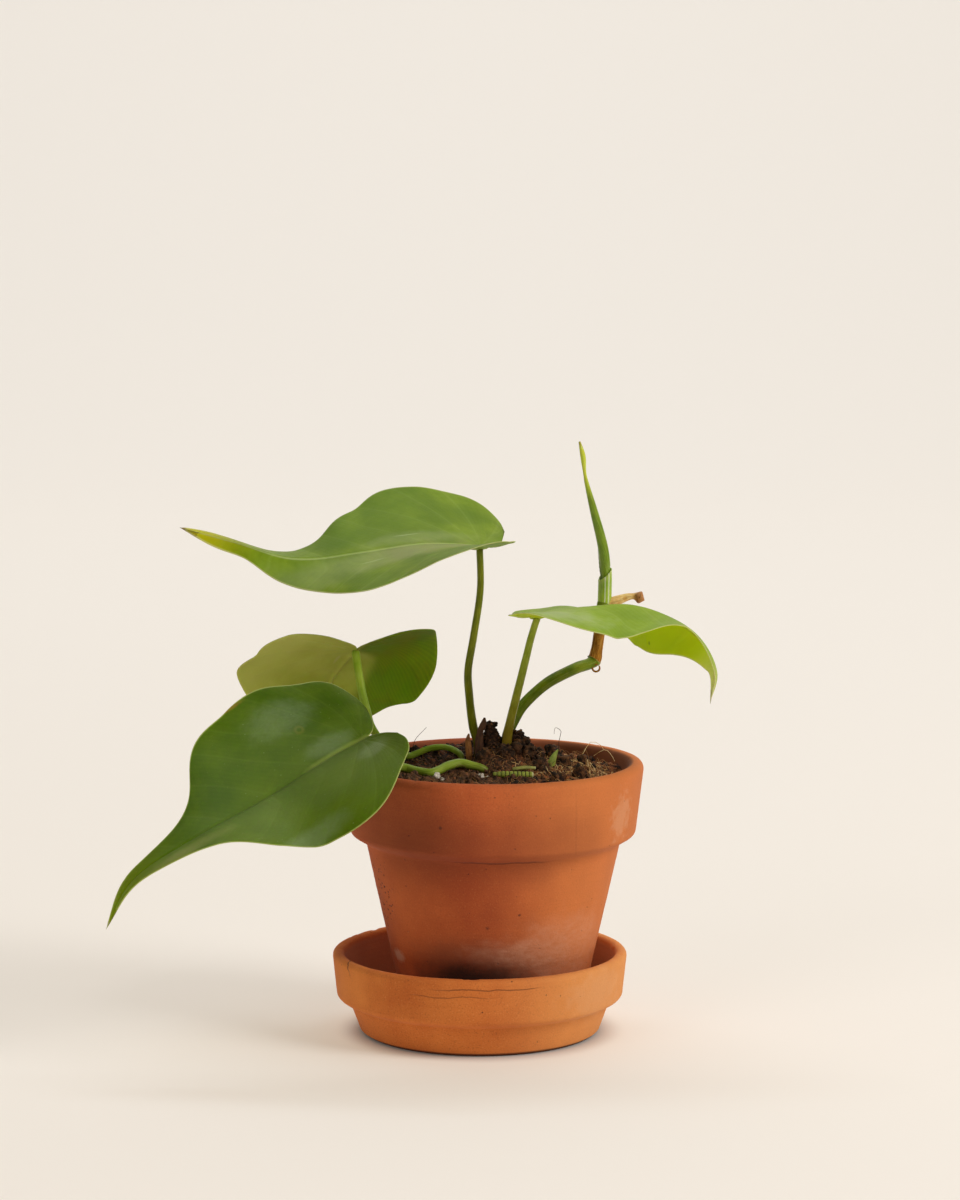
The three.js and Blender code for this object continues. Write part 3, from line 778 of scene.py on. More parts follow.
def soil_corner(i, j):
    angle = math.tau * i / SOIL_SECTORS
    cos, sin = math.cos(angle), math.sin(angle)
    down = min(max(j - SOIL_RINGS, 0) / SOIL_WALL, 1)
    radius = WALL_RADIUS * min(j, SOIL_RINGS) / SOIL_RINGS * (1 - down) + FLOOR_RADIUS * down
    if j > SOIL_RINGS + SOIL_WALL:
        radius = 0
    x, y = POT_X + radius * cos, radius * sin
    if down == 0:
        z = soil_surface(x, y)
    else:
        edge = soil_surface(POT_X + WALL_RADIUS * cos, WALL_RADIUS * sin)
        z = edge + (SOIL_FLOOR - edge) * down
    return Vector((x, y, z)), Vector((x, y, z))


soil = new_mesh()
bent_grid(soil, SOIL_SECTORS, SOIL_RINGS + SOIL_WALL + 1, soil_corner)
seal(soil)
soil_look = soil_finish("damp_soil", "1c0d06", "723a18", "b86c3c")
finished(soil, "potting_soil", soil_look, "soil", "soil")


# %% [markdown]
# ## Clods and crumbs
# Loose crumbs and clods lie on the soil. Each is a small icosphere whose corners noise moves in
# and out, because broken earth has no flat faces. An operator slows down in a mesh that grows,
# so it makes a coarse and a fine ball once, and a helper copies them a thousand times.

# %% A broken ball
def ball(detail):
    """Corners and faces of an icosphere with radius 1, to be copied many times."""
    mesh = bmesh.new()
    bmesh.ops.create_icosphere(mesh, subdivisions=detail, radius=1.0)
    corners = [v.co.copy() for v in mesh.verts]
    faces = [[v.index for v in face.verts] for face in mesh.faces]
    mesh.free()
    return corners, faces


COARSE, FINE = ball(2), ball(3)


def add_clod(mesh, centre, radius, shape):
    corners, faces = shape
    made = []
    for corner in corners:
        place = centre + corner * radius
        lumps = 0.55 * noise.noise(place * (1.1 / radius ** 0.5))
        broken = 1 + lumps + 0.3 * noise.noise(place * 2.3)
        made.append(mesh.verts.new(centre + corner * radius * broken))
    for face in faces:
        mesh.faces.new([made[i] for i in face])


print("faces of a crumb:", len(COARSE[1]))


# %% [markdown]
# A few clods are listed one by one, where the photo shows them heaped round the stems. The heap is
# given by the balls that its crumbs are stuck on, each with its reach. The rest is scattered with
# a fixed seed, so it lies the same in every run.

# %% Places of the clods
CLODS = [
    (4.3, 8, 105, 3.2), (4.2, 8.2, 108.4, 2.5), (3.8, 8, 110.9, 1.7), (15, 8, 104.8, 3),
    (14.2, 8.4, 107.8, 1.9), (9.5, 1, 102.5, 3), (1.5, 2, 101, 2.8), (18, 4, 102, 2.8),
    (22, -3, 98.5, 2.6), (13, 3, 104, 2.4), (-8, 1, 97.5, 2.6), (-30, -24, 97, 2.2),
    (30, 8, 98, 2.8), (36, -12, 97.5, 2.4), (27, 22, 99, 3), (-24, 26, 98, 2.6),
    (38, 14, 97.8, 2.2), (-2, -24, 97, 2.2), (28, -24, 97, 2.6), (3, 30, 99, 2.6),
    (16.5, 7.5, 106.2, 1.5), (6.3, 7.6, 106.4, 1.8), (2.4, 7.2, 106.8, 1.7), (5.4, 8.4, 112, 1.0),
]
HEAP = [
    (4, 8, 104, 3.6), (4, 8, 108, 2.6), (3.6, 8, 111, 1.6), (15, 8, 104.5, 3.4),
    (14, 8.4, 107.6, 2.2), (9.5, 1.5, 102, 3.6), (18, 4.5, 101.6, 3.4), (2, 2.5, 100.6, 3),
]
HEAP_CRUMBS = 46
CRUMBS = 760
CRUMB_REACH = 47.5
CRUMB_SEED = 11
SMALLEST = 0.3
print("crumbs:", len(CLODS) + len(HEAP) * HEAP_CRUMBS + CRUMBS)


# %% [markdown]
# The clods come first and the crumbs last, all in one mesh. A crumb on the soil is sunk nearly to
# its middle, so that none seems to float.

# %% Clods and crumbs
clods = new_mesh()
for *place, radius in CLODS:
    add_clod(clods, Vector(place), radius, FINE)
draw = random.Random(CRUMB_SEED)
for *place, reach in HEAP:
    for k in range(HEAP_CRUMBS):
        way = Vector((draw.gauss(0, 1), draw.gauss(0, 1), draw.gauss(0, 1))).normalized()
        radius = SMALLEST + 0.9 * draw.random() ** 2
        add_clod(clods, Vector(place) + way * (reach - radius * 0.4), radius, COARSE)
for k in range(CRUMBS):
    angle = math.tau * draw.random()
    reach = CRUMB_REACH * math.sqrt(draw.random())
    x, y = POT_X + reach * math.cos(angle), reach * math.sin(angle)
    radius = SMALLEST + 1.2 * draw.random() ** 4
    add_clod(clods, Vector((x, y, soil_surface(x, y) + 0.2 * radius)), radius, COARSE)
finished(clods, "soil_clods", soil_finish("clods", "1e0f08", "553018", "8a5a32"), "soil")


# %% [markdown]
# ## Fibres and roots
# Coconut fibres and fine roots lie on potting soil. A Blender curve with a bevel is the short way
# to a thin round fibre. Each one is a random walk that follows the soil at a small height, and
# now and then arches clear of it.

# %% Fibre walks
WALK_STEPS = 8
WALK_REACH = CRUMB_REACH + 0.8
FIBRE_LIFT = 0.15
SHORTEST = 3


def fibre_walk(draw, x, y, length, lift, curl):
    heading = math.tau * draw.random()
    turn = draw.uniform(-curl, curl)
    points = []
    for k in range(WALK_STEPS + 1):
        arch = lift * math.sin(math.pi * k / WALK_STEPS)
        points.append((x, y, soil_surface(x, y) + FIBRE_LIFT + arch))
        heading += turn + draw.uniform(-curl, curl) * 0.7
        x += length / WALK_STEPS * math.cos(heading)
        y += length / WALK_STEPS * math.sin(heading)
        away = math.hypot(x - POT_X, y)
        if away > WALK_REACH:
            x = POT_X + (x - POT_X) * CRUMB_REACH / away
            y = y * CRUMB_REACH / away
    return points


def scattered(seed, count, centre, spread, longest, lift, curl):
    draw = random.Random(seed)
    walks = []
    while len(walks) < count:
        x, y = draw.gauss(centre[0], spread[0]), draw.gauss(centre[1], spread[1])
        if math.hypot(x - POT_X, y) < CRUMB_REACH:
            length, arch = draw.uniform(SHORTEST, longest), lift * draw.random() ** 3
            walks.append(fibre_walk(draw, x, y, length, arch, curl))
    return walks


print("points of a fibre:", WALK_STEPS + 1)


# %% [markdown]
# Straw and gold fibres gather on the dry side, and the dark roots are everywhere. Seven are given
# one by one, where the photo shows them: two dark ones against the background, three arched ones
# in the mound, and two pale ones in front of the pot's wall.

# %% Fibres given one by one
GOLD_BY_HAND = [
    [(42, 16, 99), (45.7, 14, 101.6), (47.9, 13.5, 100.4), (49.6, 13, 97.5)],
    [(38, 24, 98), (41, 26, 102.5), (45, 28, 101), (47, 29, 97)],
]
ROOTS_BY_HAND = [
    [(-25.5, 22, 99), (-24.1, 22, 103.9), (-22.2, 22, 106.2), (-19.8, 22, 108.7)],
    [(29, 20, 98), (29.2, 20, 103.7), (30, 20, 107.3), (28.8, 20, 108.6), (27.7, 20, 108.7),
     (27.4, 20, 106.5)],
    [(-0.4, 6, 104.5), (0, 6, 109.1), (1.5, 6, 110.2), (2.9, 6.2, 109.1), (2.6, 6.4, 105)],
    [(-1, 5, 105), (0.6, 5.2, 107.6), (1.8, 5.6, 108.4), (3.2, 6, 106)],
    [(11, 6, 105), (12.6, 5, 108.2), (14.6, 5, 108), (15.6, 5.6, 105)],
]
print("fibres placed by hand:", len(GOLD_BY_HAND) + len(ROOTS_BY_HAND))


# %% [markdown]
# A bundle of fibres is one curve object with many splines, so that a few hundred fibres are one
# piece. It is made a mesh before it is finished, as every piece of this object is.

# %% Fibre bundles
FIBRE_TAPER = 0.45


def fibre_finish(name, dark, light):
    finish = Finish(name)
    return finish.surface(finish.grain(3, 2).between(0.35, 0.65).blend(dark, light), 0.75)


def fibre_bundle(name, material, walks, radius):
    """Thin round curves, made a mesh and closed at both ends."""
    line = bpy.data.curves.new(name, "CURVE")
    line.dimensions = "3D"
    line.bevel_depth = radius * MM
    line.bevel_resolution = 0
    line.use_fill_caps = True
    for walk in walks:
        curve = Curve(walk)
        steps = 2 * (len(walk) - 1)
        spline = line.splines.new("POLY")
        spline.points.add(steps)
        for k, point in enumerate(spline.points):
            point.co = (*curve.at(k / steps) * MM, 1)
            point.radius = 1 - FIBRE_TAPER * k / steps
    source = bpy.data.objects.new(name, line)
    data = bpy.data.meshes.new_from_object(source)
    bpy.data.objects.remove(source)
    data.name = name
    print(name, "fibres:", len(walks))
    piece_of(data, name, material, "soil")


print("a fibre thins to", 1 - FIBRE_TAPER, "of its radius")


# %% [markdown]
# Each kind of fibre has its own seed, count, middle, spread, longest length, arch and curl. Straw
# is the straighter, and roots curl the most.

# %% Fibres and roots
STRAW_RADIUS = 0.1
ROOT_RADIUS = 0.12

straw = fibre_finish("straw_fibre", "6e4422", "bf8c50")
root = fibre_finish("fine_root", "3a2214", "6b452a")
gold = fibre_finish("gold_fibre", "d0a060", "ffe2a8")
dry_side = scattered(3, 240, (32, 4), (12, 18), 11, 3, 0.15)
all_over = scattered(4, 150, (-2, -10), (26, 24), 9, 2, 0.3)
bright = scattered(6, 70, (33, 7), (9, 15), 8, 1.5, 0.2)
bright += scattered(7, 16, (46, -2), (3, 6), 11, 3.5, 0.08) + GOLD_BY_HAND
dark = scattered(5, 170, (8, 0), (18, 18), 9, 3.5, 0.5) + ROOTS_BY_HAND
fibre_bundle("straw_fibres", straw, dry_side, STRAW_RADIUS)
fibre_bundle("straw_spread", straw, all_over, STRAW_RADIUS)
fibre_bundle("gold_fibres", gold, bright, ROOT_RADIUS)
fibre_bundle("fine_roots", root, dark, ROOT_RADIUS)


# %% [markdown]
# ## Pale chips
# The white grains in potting soil are perlite, a glass that was puffed up by heat. They are clods
# of another colour here, each by its place and radius.

# %% Pale chips
CHIPS = [
    (0.4, -14.5, 1.5), (-15.8, -19.5, 1.3), (-13.5, -21, 0.8), (15.3, 27, 0.9), (16.1, 6.6, 0.8),
    (2.5, -17, 0.8), (40, -8, 0.7), (-26, -8, 0.9), (22, 30, 0.9), (31, -27, 0.8), (-8, 30, 1.0),
]


def chip_finish():
    finish = Finish("perlite")
    tone = finish.grain(0.8, 3).between(0.3, 0.7).blend("b9ac9c", "e9e2d8")
    return finish.surface(tone, 0.8, finish.grain(0.4, 2) * 0.2)


chips = new_mesh()
for x, y, radius in CHIPS:
    add_clod(chips, Vector((x, y, soil_surface(x, y) + radius * 0.5)), radius, FINE)
finished(chips, "pale_chips", chip_finish(), "soil")


# %% [markdown]
# ## One leaf outline, four leaves
# The heart-shaped blades of this plant differ in how they hang, and hardly in their outline. So
# there is one flat outline, given for each station by where a row of the blade starts and ends:
# x is the share along the midrib, with the lobes before 0, and y is the share across one half.
# Each leaf has its own curved midrib, and in each half a fold, a curl and a width of its own, as
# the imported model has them.

# %% Outline of a blade
OUTLINE = [
    (-0.120, 0.42, -0.120, 0.42), (-0.080, 0.13, -0.115, 0.64), (-0.025, 0, -0.070, 0.83),
    (0.050, 0, 0.020, 0.94), (0.150, 0, 0.145, 1.00), (0.280, 0, 0.290, 0.96),
    (0.420, 0, 0.440, 0.70), (0.550, 0, 0.560, 0.35), (0.740, 0, 0.745, 0.15), (1, 0, 1, 0),
]
GAP_ROWS = 2
ROWS_IN_SPAN = (18, 14, 12, 14, 18, 20, 20, 24, 34)
BLADE_COLUMNS = 30
WIDTH_AT = (-0.05, 0.15, 0.29, 0.44, 0.56, 0.75, 0.93)
TWIST_AT = (0, 0.35, 0.7, 1)
FOLD_AT = (0, 0.4, 0.8)
LOBE_SHARE = 0.12
print("rows of a blade:", sum(ROWS_IN_SPAN))


# %% [markdown]
# The midrib points are in millimetres, and the half width too. Fold, curl, lobe, roll and twist
# are angles in degrees. The width values stretch or narrow the outline at the stations above.

# %% Shapes of the four leaves
LEAVES = {
    "top": {
        "midrib": [(0, -1, 178.5), (-22, -7, 180), (-44, -10, 177), (-67, -10, 175),
                   (-88, -4, 180.3), (-108.5, -5, 186)],
        "half": 39, "roll": 8, "twist": (0, 4, 22, 42), "waves": 0.4,
        "right": {"fold": (12, 5, -40), "curl": 10, "lobe": -20, "lobe_length": 1,
                  "width": (1.02, 1.07, 1.07, 1.04, 1.1, 1.3, 1.6)},
        "left": {"fold": (15, -5, -20), "curl": 4, "lobe": 10, "lobe_length": 0.45,
                 "width": (1, 0.96, 0.89, 1.11, 1.25, 0.95, 1.6)},
    },
    "right": {
        "midrib": [(20.5, -3, 153.5), (39, -8, 157.7), (56, -11, 158.5), (75, -14, 150.6),
                   (84.7, -22.5, 137), (83.2, -14, 122.7)],
        "half": 31, "roll": 4, "twist": (0, 2, 29, 0), "waves": 0.35,
        "right": {"fold": (4, -26, -22), "curl": 0, "lobe": 14, "lobe_length": 0.45,
                  "width": (0.98, 1, 1, 1.2, 1.6, 1.2, 1.2)},
        "left": {"fold": (6, -30, -56), "curl": 0, "lobe": 12, "lobe_length": 1.05,
                 "width": (0.8, 0.76, 0.89, 1.2, 1.58, 1.4, 1.4)},
    },
    "front": {
        "midrib": [(-42, -37, 113.5), (-57, -44, 106), (-75, -50, 95), (-96, -60, 84.5),
                   (-120, -64, 69.5), (-131, -63, 50.5)],
        "half": 40, "roll": 18, "twist": (0, 12, -5, -2), "waves": 0.45,
        "right": {"fold": (10, 11, 4), "curl": 8, "lobe": -40, "lobe_length": 0.84,
                  "width": (0.95, 1.02, 0.98, 1.12, 1.1, 1, 1.4)},
        "left": {"fold": (16, 12, 3), "curl": -10, "lobe": 20, "lobe_length": 0.62,
                 "width": (0.87, 1.13, 1, 0.98, 0.86, 1, 1.1)},
    },
    "back": {
        "midrib": [(-46, 19.5, 138), (-51, 31, 131.5), (-56.5, 43.5, 121.5),
                   (-59.5, 51.5, 103), (-63, 54, 85), (-67, 56, 66)],
        "half": 37, "roll": -3, "twist": (0, -9, 1.5, 0), "waves": 0.35,
        "right": {"fold": (12.5, -13, -4), "curl": -4, "lobe": -2, "lobe_length": 0.92,
                  "width": (0.98, 1, 0.93, 0.82, 0.88, 1, 1)},
        "left": {"fold": (9, -10, -8), "curl": 0, "lobe": -7, "lobe_length": 0.86,
                 "width": (0.86, 0.9, 1.06, 1.04, 1.05, 1.1, 1.1)},
    },
}
print("half widths in mm:", {name: leaf["half"] for name, leaf in LEAVES.items()})


# %% [markdown]
# ## Midrib
# To bend a sheet along a curve, every place on the curve needs three directions: along, to the
# side, and up. The side is carried from place to place, so that it never flips, which it can
# where a curve's own normal is used. The twist then turns it.

# %% Midrib
class Rib:
    """Places and directions along a midrib, with the sideways direction carried along it."""
    STATIONS = 200

    def __init__(self, leaf):
        curve = Curve(leaf["midrib"])
        last = self.STATIONS - 1
        places = [curve.at(i / last) for i in range(self.STATIONS)]
        travelled = [0.0]
        for a, b in zip(places, places[1:]):
            travelled.append(travelled[-1] + (b - a).length)
        self.length = travelled[-1]
        self.shares = [way / self.length for way in travelled]
        self.frames = []
        carried = None
        for i, place in enumerate(places):
            along = (places[min(i + 1, last)] - places[max(i - 1, 0)]).normalized()
            if carried is None:
                carried = along.cross((0, 0, 1)).normalized()
                carried.rotate(Matrix.Rotation(-math.radians(leaf["roll"]), 3, along))
            carried = (carried - along * carried.dot(along)).normalized()
            twist = math.radians(eased(self.shares[i], TWIST_AT, leaf["twist"]))
            side = Matrix.Rotation(-twist, 3, along) @ carried
            self.frames.append((place, along, side, side.cross(along)))

    def at(self, share):
        share = min(max(share, 0), 1)
        after = min(max(bisect_left(self.shares, share), 1), self.STATIONS - 1)
        step = self.shares[after] - self.shares[after - 1]
        w = (share - self.shares[after - 1]) / step
        return [a.lerp(b, w) for a, b in zip(self.frames[after - 1], self.frames[after])]


RIBS = {name: Rib(leaf) for name, leaf in LEAVES.items()}
print("midribs in mm:", {name: round(rib.length) for name, rib in RIBS.items()})


# %% [markdown]
# ## Veins
# The side veins leave the midrib at a steady spacing and bend towards the tip. Behind the joint
# they fan out into the lobes. A vein is where "phase" is a whole number, and "pitch" is the
# distance to the next vein in millimetres. Both change slowly over the blade, so the corners
# of the mesh can carry them, and the finish can still draw a fine sharp line.

# %% Vein field
VEIN_ANGLE = math.radians(46)
VEIN_FAN = math.radians(27)
VEIN_SPACING = 19
VEIN_BEND = 0.009


def vein_field(x, y, drift):
    """Phase and pitch at x along and y across from the midrib, in flat millimetres."""
    q = x - VEIN_BEND * y * y
    foot = q - y / math.tan(VEIN_ANGLE)
    turn = math.atan2(y, q) - VEIN_ANGLE
    phase = max(foot, 0) / VEIN_SPACING - max(turn, 0) / VEIN_FAN
    pitch = min(VEIN_SPACING * math.sin(VEIN_ANGLE), math.hypot(q, y) * VEIN_FAN + 1)
    return phase + drift * smooth(y / 8), pitch


print("mm between two side veins:", round(vein_field(60, 10, 0)[1], 1))


# %% [markdown]
# ## A bent blade
# A point of the flat outline is carried to the bent blade in two steps: along the midrib to its
# place, and then out to the side, lifted by the fold. Behind the joint the midrib has ended, and
# the lobe goes on from there with a bend of its own. A curve modifier could bend a flat blade too,
# but not each half by its own angle.

# %% Points of a blade
def blade_point(leaf, rib, half, sign, x, y):
    """The point of the blade's middle surface at shares x along and y across one half."""
    place, along, side, up = rib.at(x)
    width = y * eased(x, WIDTH_AT, half["width"])
    beyond = min(x, 0) * rib.length * half["lobe_length"]
    bend = math.radians(half["lobe"]) * max(-x / LOBE_SHARE, 0) / 2
    lift = math.radians(eased(max(x, 0), FOLD_AT, half["fold"]) + half["curl"] * width / 2)
    reach = width * leaf["half"]
    place = place + along * beyond * math.cos(bend) - up * beyond * math.sin(bend)
    return place + side * sign * reach * math.cos(lift) + up * reach * math.sin(lift)


def blade_rows():
    """For each row its station, and where it starts and ends on the flat outline."""
    inner = Curve([(row[0], row[1], 0) for row in OUTLINE])
    outer = Curve([(row[2], row[3], 0) for row in OUTLINE])
    spans = len(ROWS_IN_SPAN)
    stations = [span + k / count for span, count in enumerate(ROWS_IN_SPAN) for k in range(count)]
    rows = []
    for station in stations + [spans]:
        start, end = inner.at(station / spans), outer.at(station / spans)
        start.y = max(start.y, 0) if station < GAP_ROWS else 0
        end.y = max(end.y, 0)
        rows.append((station, start, end))
    return rows


print("rows with the last one:", len(blade_rows()))


# %% [markdown]
# Each half of a blade is a grid, with its rows closest at the tip and at the lobes. The columns
# come closer to the midrib and to the margin, where the relief is finest. The two halves meet at
# the midrib, and the last rows behind the joint leave the gap of the heart open.

# %% Blade sheet
LEFT_DRIFT = 0.4


def blade_sheet(leaf, rib):
    mesh = new_mesh()
    vein = mesh.verts.layers.float_vector.new("vein")
    flat = mesh.verts.layers.float_vector["flat"]
    rows = blade_rows()
    for half, sign, drift in ((leaf["right"], 1, 0), (leaf["left"], -1, LEFT_DRIFT)):

        def place(i, j):
            station, start, end = rows[j]
            across = (1 - math.cos(math.pi * i / BLADE_COLUMNS)) / 2
            x, y = start.lerp(end, across).xy
            room = (end - start).length * leaf["half"]
            margin = (1 - across) * room
            if station < GAP_ROWS:
                margin = min(margin, across * room)
            on_sheet = Vector((x * rib.length, sign * y * leaf["half"], margin))
            return blade_point(leaf, rib, half, sign, x, y), on_sheet

        bent_grid(mesh, BLADE_COLUMNS, len(rows) - 1, place)
        for v in mesh.verts:
            if v[flat].y * sign >= 0:
                phase, pitch = vein_field(v[flat].x, abs(v[flat].y), drift)
                v[vein] = (phase, pitch, 1)
    seal(mesh)
    mesh.normal_update()
    middle = rib.at(0.3)
    nearest = min(mesh.verts, key=lambda v: (v.co - middle[0]).length_squared)
    if nearest.normal.dot(middle[3]) < 0:
        bmesh.ops.reverse_faces(mesh, faces=mesh.faces)
    print("sheet corners:", len(mesh.verts))
    return mesh


# %% [markdown]
# ## Relief of a blade
# The solidify operator gives the sheet two faces, and both are pushed into relief: a groove over
# the midrib, a ridge below it, low cushions between the veins, and a margin that thins and
# waves. Relief in the mesh shows in the outline of a leaf seen from its edge, where a bump in
# the finish would not. Solidify adds the rim's faces in an order that changes from run to run, so
# the faces are sorted by their places after it.

# %% Relief of a blade
BLADE_THICKNESS = 0.5
CUSHION = 0.1
WAVE = 1.1
SWELL = 0.35
GROOVE = 0.34
RIDGE_AT_TIP = 0.25
RIDGE_GROWTH = 0.75
VEIN_WIDTH = 1.3
VEIN_DENT = 0.04
VEIN_RIDGE = 0.16


def relief(mesh, rib, waves):
    """Gives the sheet two faces and pushes each into relief."""
    layers = mesh.verts.layers.float_vector
    for name in ("up", "base"):
        layers.new(name)
    flat, vein, up, base = (layers[name] for name in ("flat", "vein", "up", "base"))
    mesh.normal_update()
    for v in mesh.verts:
        v[up] = v.normal
        v[base] = v.co
    count = len(mesh.verts)
    bmesh.ops.solidify(mesh, geom=mesh.faces[:], thickness=BLADE_THICKNESS)
    in_order = sorted(mesh.faces, key=lambda face: face.calc_center_median()[:])
    ranks = {face: rank for rank, face in enumerate(in_order)}
    mesh.faces.sort(key=ranks.get)
    mesh.verts.ensure_lookup_table()
    for v in mesh.verts:
        x, y, margin = v[flat]
        phase, pitch, upper = v[vein]
        across = abs(y)
        to_tip = 1 - min(max(x / rib.length, 0), 1)
        from_vein = abs(phase - round(phase))
        line = smooth(1 - from_vein * pitch / VEIN_WIDTH)
        rib_line = smooth(1 - across / (0.5 + 0.9 * to_tip))
        cushion = smooth(from_vein * 2.2) * smooth(across / 7) * smooth(margin / 4)
        wave = noise.noise(Vector((x, y, 9)) * 0.07) * smooth(1 - margin / 14) * smooth(across / 12)
        rise = CUSHION * cushion - 0.04 + WAVE * wave * waves
        rise += SWELL * noise.noise(Vector((x, y, 4)) * 0.05)
        half_thickness = BLADE_THICKNESS / 2 * (0.5 + 0.5 * smooth(margin / 1.2))
        if v.index < count:
            rise += half_thickness - VEIN_DENT * line
            rise -= GROOVE * rib_line * smooth(x / 5 + 1)
        else:
            v[vein] = (phase, pitch, 0)
            ridge = RIDGE_AT_TIP + RIDGE_GROWTH * to_tip
            rise -= half_thickness + VEIN_RIDGE * line * smooth(margin / 3)
            rise -= ridge * rib_line * smooth(x / 4 + 1) * smooth(margin / 2)
        v.co = v[base] + v[up] * rise


# %% [markdown]
# ## Leaf finishes
# Light comes through a blade half a millimetre thick, which a little subsurface scattering stands
# for. The gloss is tinted, because a leaf's wax reflects less blue. Both are the same all over a
# leaf or a stalk, so they are plain numbers on the shader.

# %% Green tissue
def green_tissue(weight, scale, level, radius=(1, 0.2, 0.1), coat=0.0):
    """Settings of the shader that leaves and stalks share. They are the same all over a piece."""
    return {"Subsurface Weight": weight, "Subsurface Scale": scale, "Subsurface Radius": radius,
            "Specular IOR Level": level, "Specular Tint": (1, 0.97, 0.5, 1), "Coat Weight": coat}


print("settings of green tissue:", len(green_tissue(0.1, 0.002, 0.3)))


# %% [markdown]
# A leaf is two finishes in one: the upper face is deeper green and waxy, the under face paler
# and duller. Fine lines run parallel to the side veins, the margin is a thin pale line, and the
# tip is the first place to turn yellow.

# %% Leaf finish
def leaf_finish(name, length, look, marks):
    finish = Finish(name)
    flat = finish.attribute("flat")
    x, y, margin = finish.parts(flat)
    phase, pitch, upper = finish.parts(finish.attribute("vein"))
    on_top = upper.between(0.4, 0.6)
    share = (x / length).maths("MAXIMUM", 0.0)
    away = phase.maths("PINGPONG", 0.5) * pitch
    vein = 1 - away.between(0.15, 0.75)
    halo = 1 - away.between(0.3, 3.2)
    veins = vein * 0.6 + halo * 0.4
    fine = (phase * 7).maths("PINGPONG", 0.5).between(0.5, 0.1)
    tip = share.between(look["tip_from"], 1.0)
    rib = 1 - (abs(y) / (1.25 - share * 0.95)).between(0.4, 1.0)
    edge = 1 - margin.between(0.15, 0.55)
    mottle = finish.grain(16, 4, flat)
    small = finish.grain(2.6, 3, flat)
    speckle = finish.grain(0.5, 2, flat)
    top, top_deep, top_vein = look["top"]
    under, under_deep, under_vein = look["under"]

    upper_face = layered(
        mottle.between(0.3, 0.7).blend(top, top_deep),
        (small.between(0.35, 0.75), 0.3, top_deep),
        (fine, 0.025, top_vein),
        (veins, look["veins"][0], top_vein),
    )
    under_face = layered(
        mottle.between(0.3, 0.7).blend(under, under_deep),
        (fine, 0.08, under_deep),
        (veins, look["veins"][1], under_vein),
    )
    colour = layered(
        on_top.blend(under_face, upper_face),
        (tip, 0.85, look["tip"]),
        (rib * (1 - share * 0.5), look["rib_share"], look["rib"]),
        (edge, 0.6, look["edge"]),
        (speckle.between(0.62, 0.8), 0.1, look["edge"]),
    )
    rough = look["rough"] + (1 - on_top) * 0.12 + small * 0.1 + mottle * 0.06
    colour, rough = marks(finish, flat, on_top, colour, rough)
    height = speckle * 0.03 + fine * 0.012 + small * 0.06 - vein * 0.03 * upper + rib * 0.04
    return finish.surface(colour, rough, height, green_tissue(0.22, 0.004, 0.17, (0.55, 1.0, 0.2)))


# %% [markdown]
# The colours of the four leaves. Each face has a light, a deep and a vein colour. The young leaf
# on the right is the palest, and the old one in front the deepest. The under faces of the right
# and back leaves are painted brighter than their own green, as light that shines through them.

# %% Looks of the four leaves
LOOKS = {
    "top": {"top": ("778c10", "5c7404", "a9bd5a"), "under": ("8a9c28", "6c8620", "aebd64"),
            "veins": (0.12, 0.3), "rib": "c3cf86", "rib_share": 0.5, "edge": "c9c890",
            "tip": "bdb00c", "tip_from": 0.68, "rough": 0.38},
    # The under face of the right leaf is painted bright, as light that shines through it.
    "right": {"top": ("8ba41c", "789212", "c3cd8c"), "under": ("cadc1c", "b8cc14", "bccd3c"),
              "veins": (0.06, 0.12), "rib": "c6cf7c", "rib_share": 0.3, "edge": "c9c88a",
              "tip": "ccd07c", "tip_from": 0.7, "rough": 0.42},
    "front": {"top": ("4e6106", "3b4f02", "768e2e"), "under": ("718530", "5d7222", "8c9c54"),
              "veins": (0.12, 0.3), "rib": "3f520c", "rib_share": 0.5, "edge": "c2c87c",
              "tip": "7f8a08", "tip_from": 0.6, "rough": 0.38},
    # The under face of the back leaf is painted brighter, as light that shines through it.
    "back": {"top": ("5c7423", "4a641a", "83965a"), "under": ("a09e48", "908e36", "a6a54c"),
             "veins": (0.2, 0.14), "rib": "a3a548", "rib_share": 0.5, "edge": "b5b070",
             "tip": "9a9434", "tip_from": 0.9, "rough": 0.48},
}


# %% [markdown]
# ## Marks of the leaves
# Every leaf has its own scars and dry edges, and soft sheens are painted on it as highlights where
# its wax reflects the light. A spot is a patch on the flat sheet, given by its place along and
# across in millimetres, its half sizes and how ragged it is, so it can be set where the photo
# shows it and then hangs on the leaf.

# %% Marks of the front leaf
def spots(finish, flat, *places, ragged=0.4):
    """The strongest of several patches on the flat sheet, each with x, y, long and wide."""
    made = []
    for x, y, long, wide in places:
        on_sheet = finish.stretched(1, 1, 0, flat)
        made.append(finish.patch((x, y, 0), (long, wide, 1), ragged, 0.5, on_sheet))
    return strongest(*made)


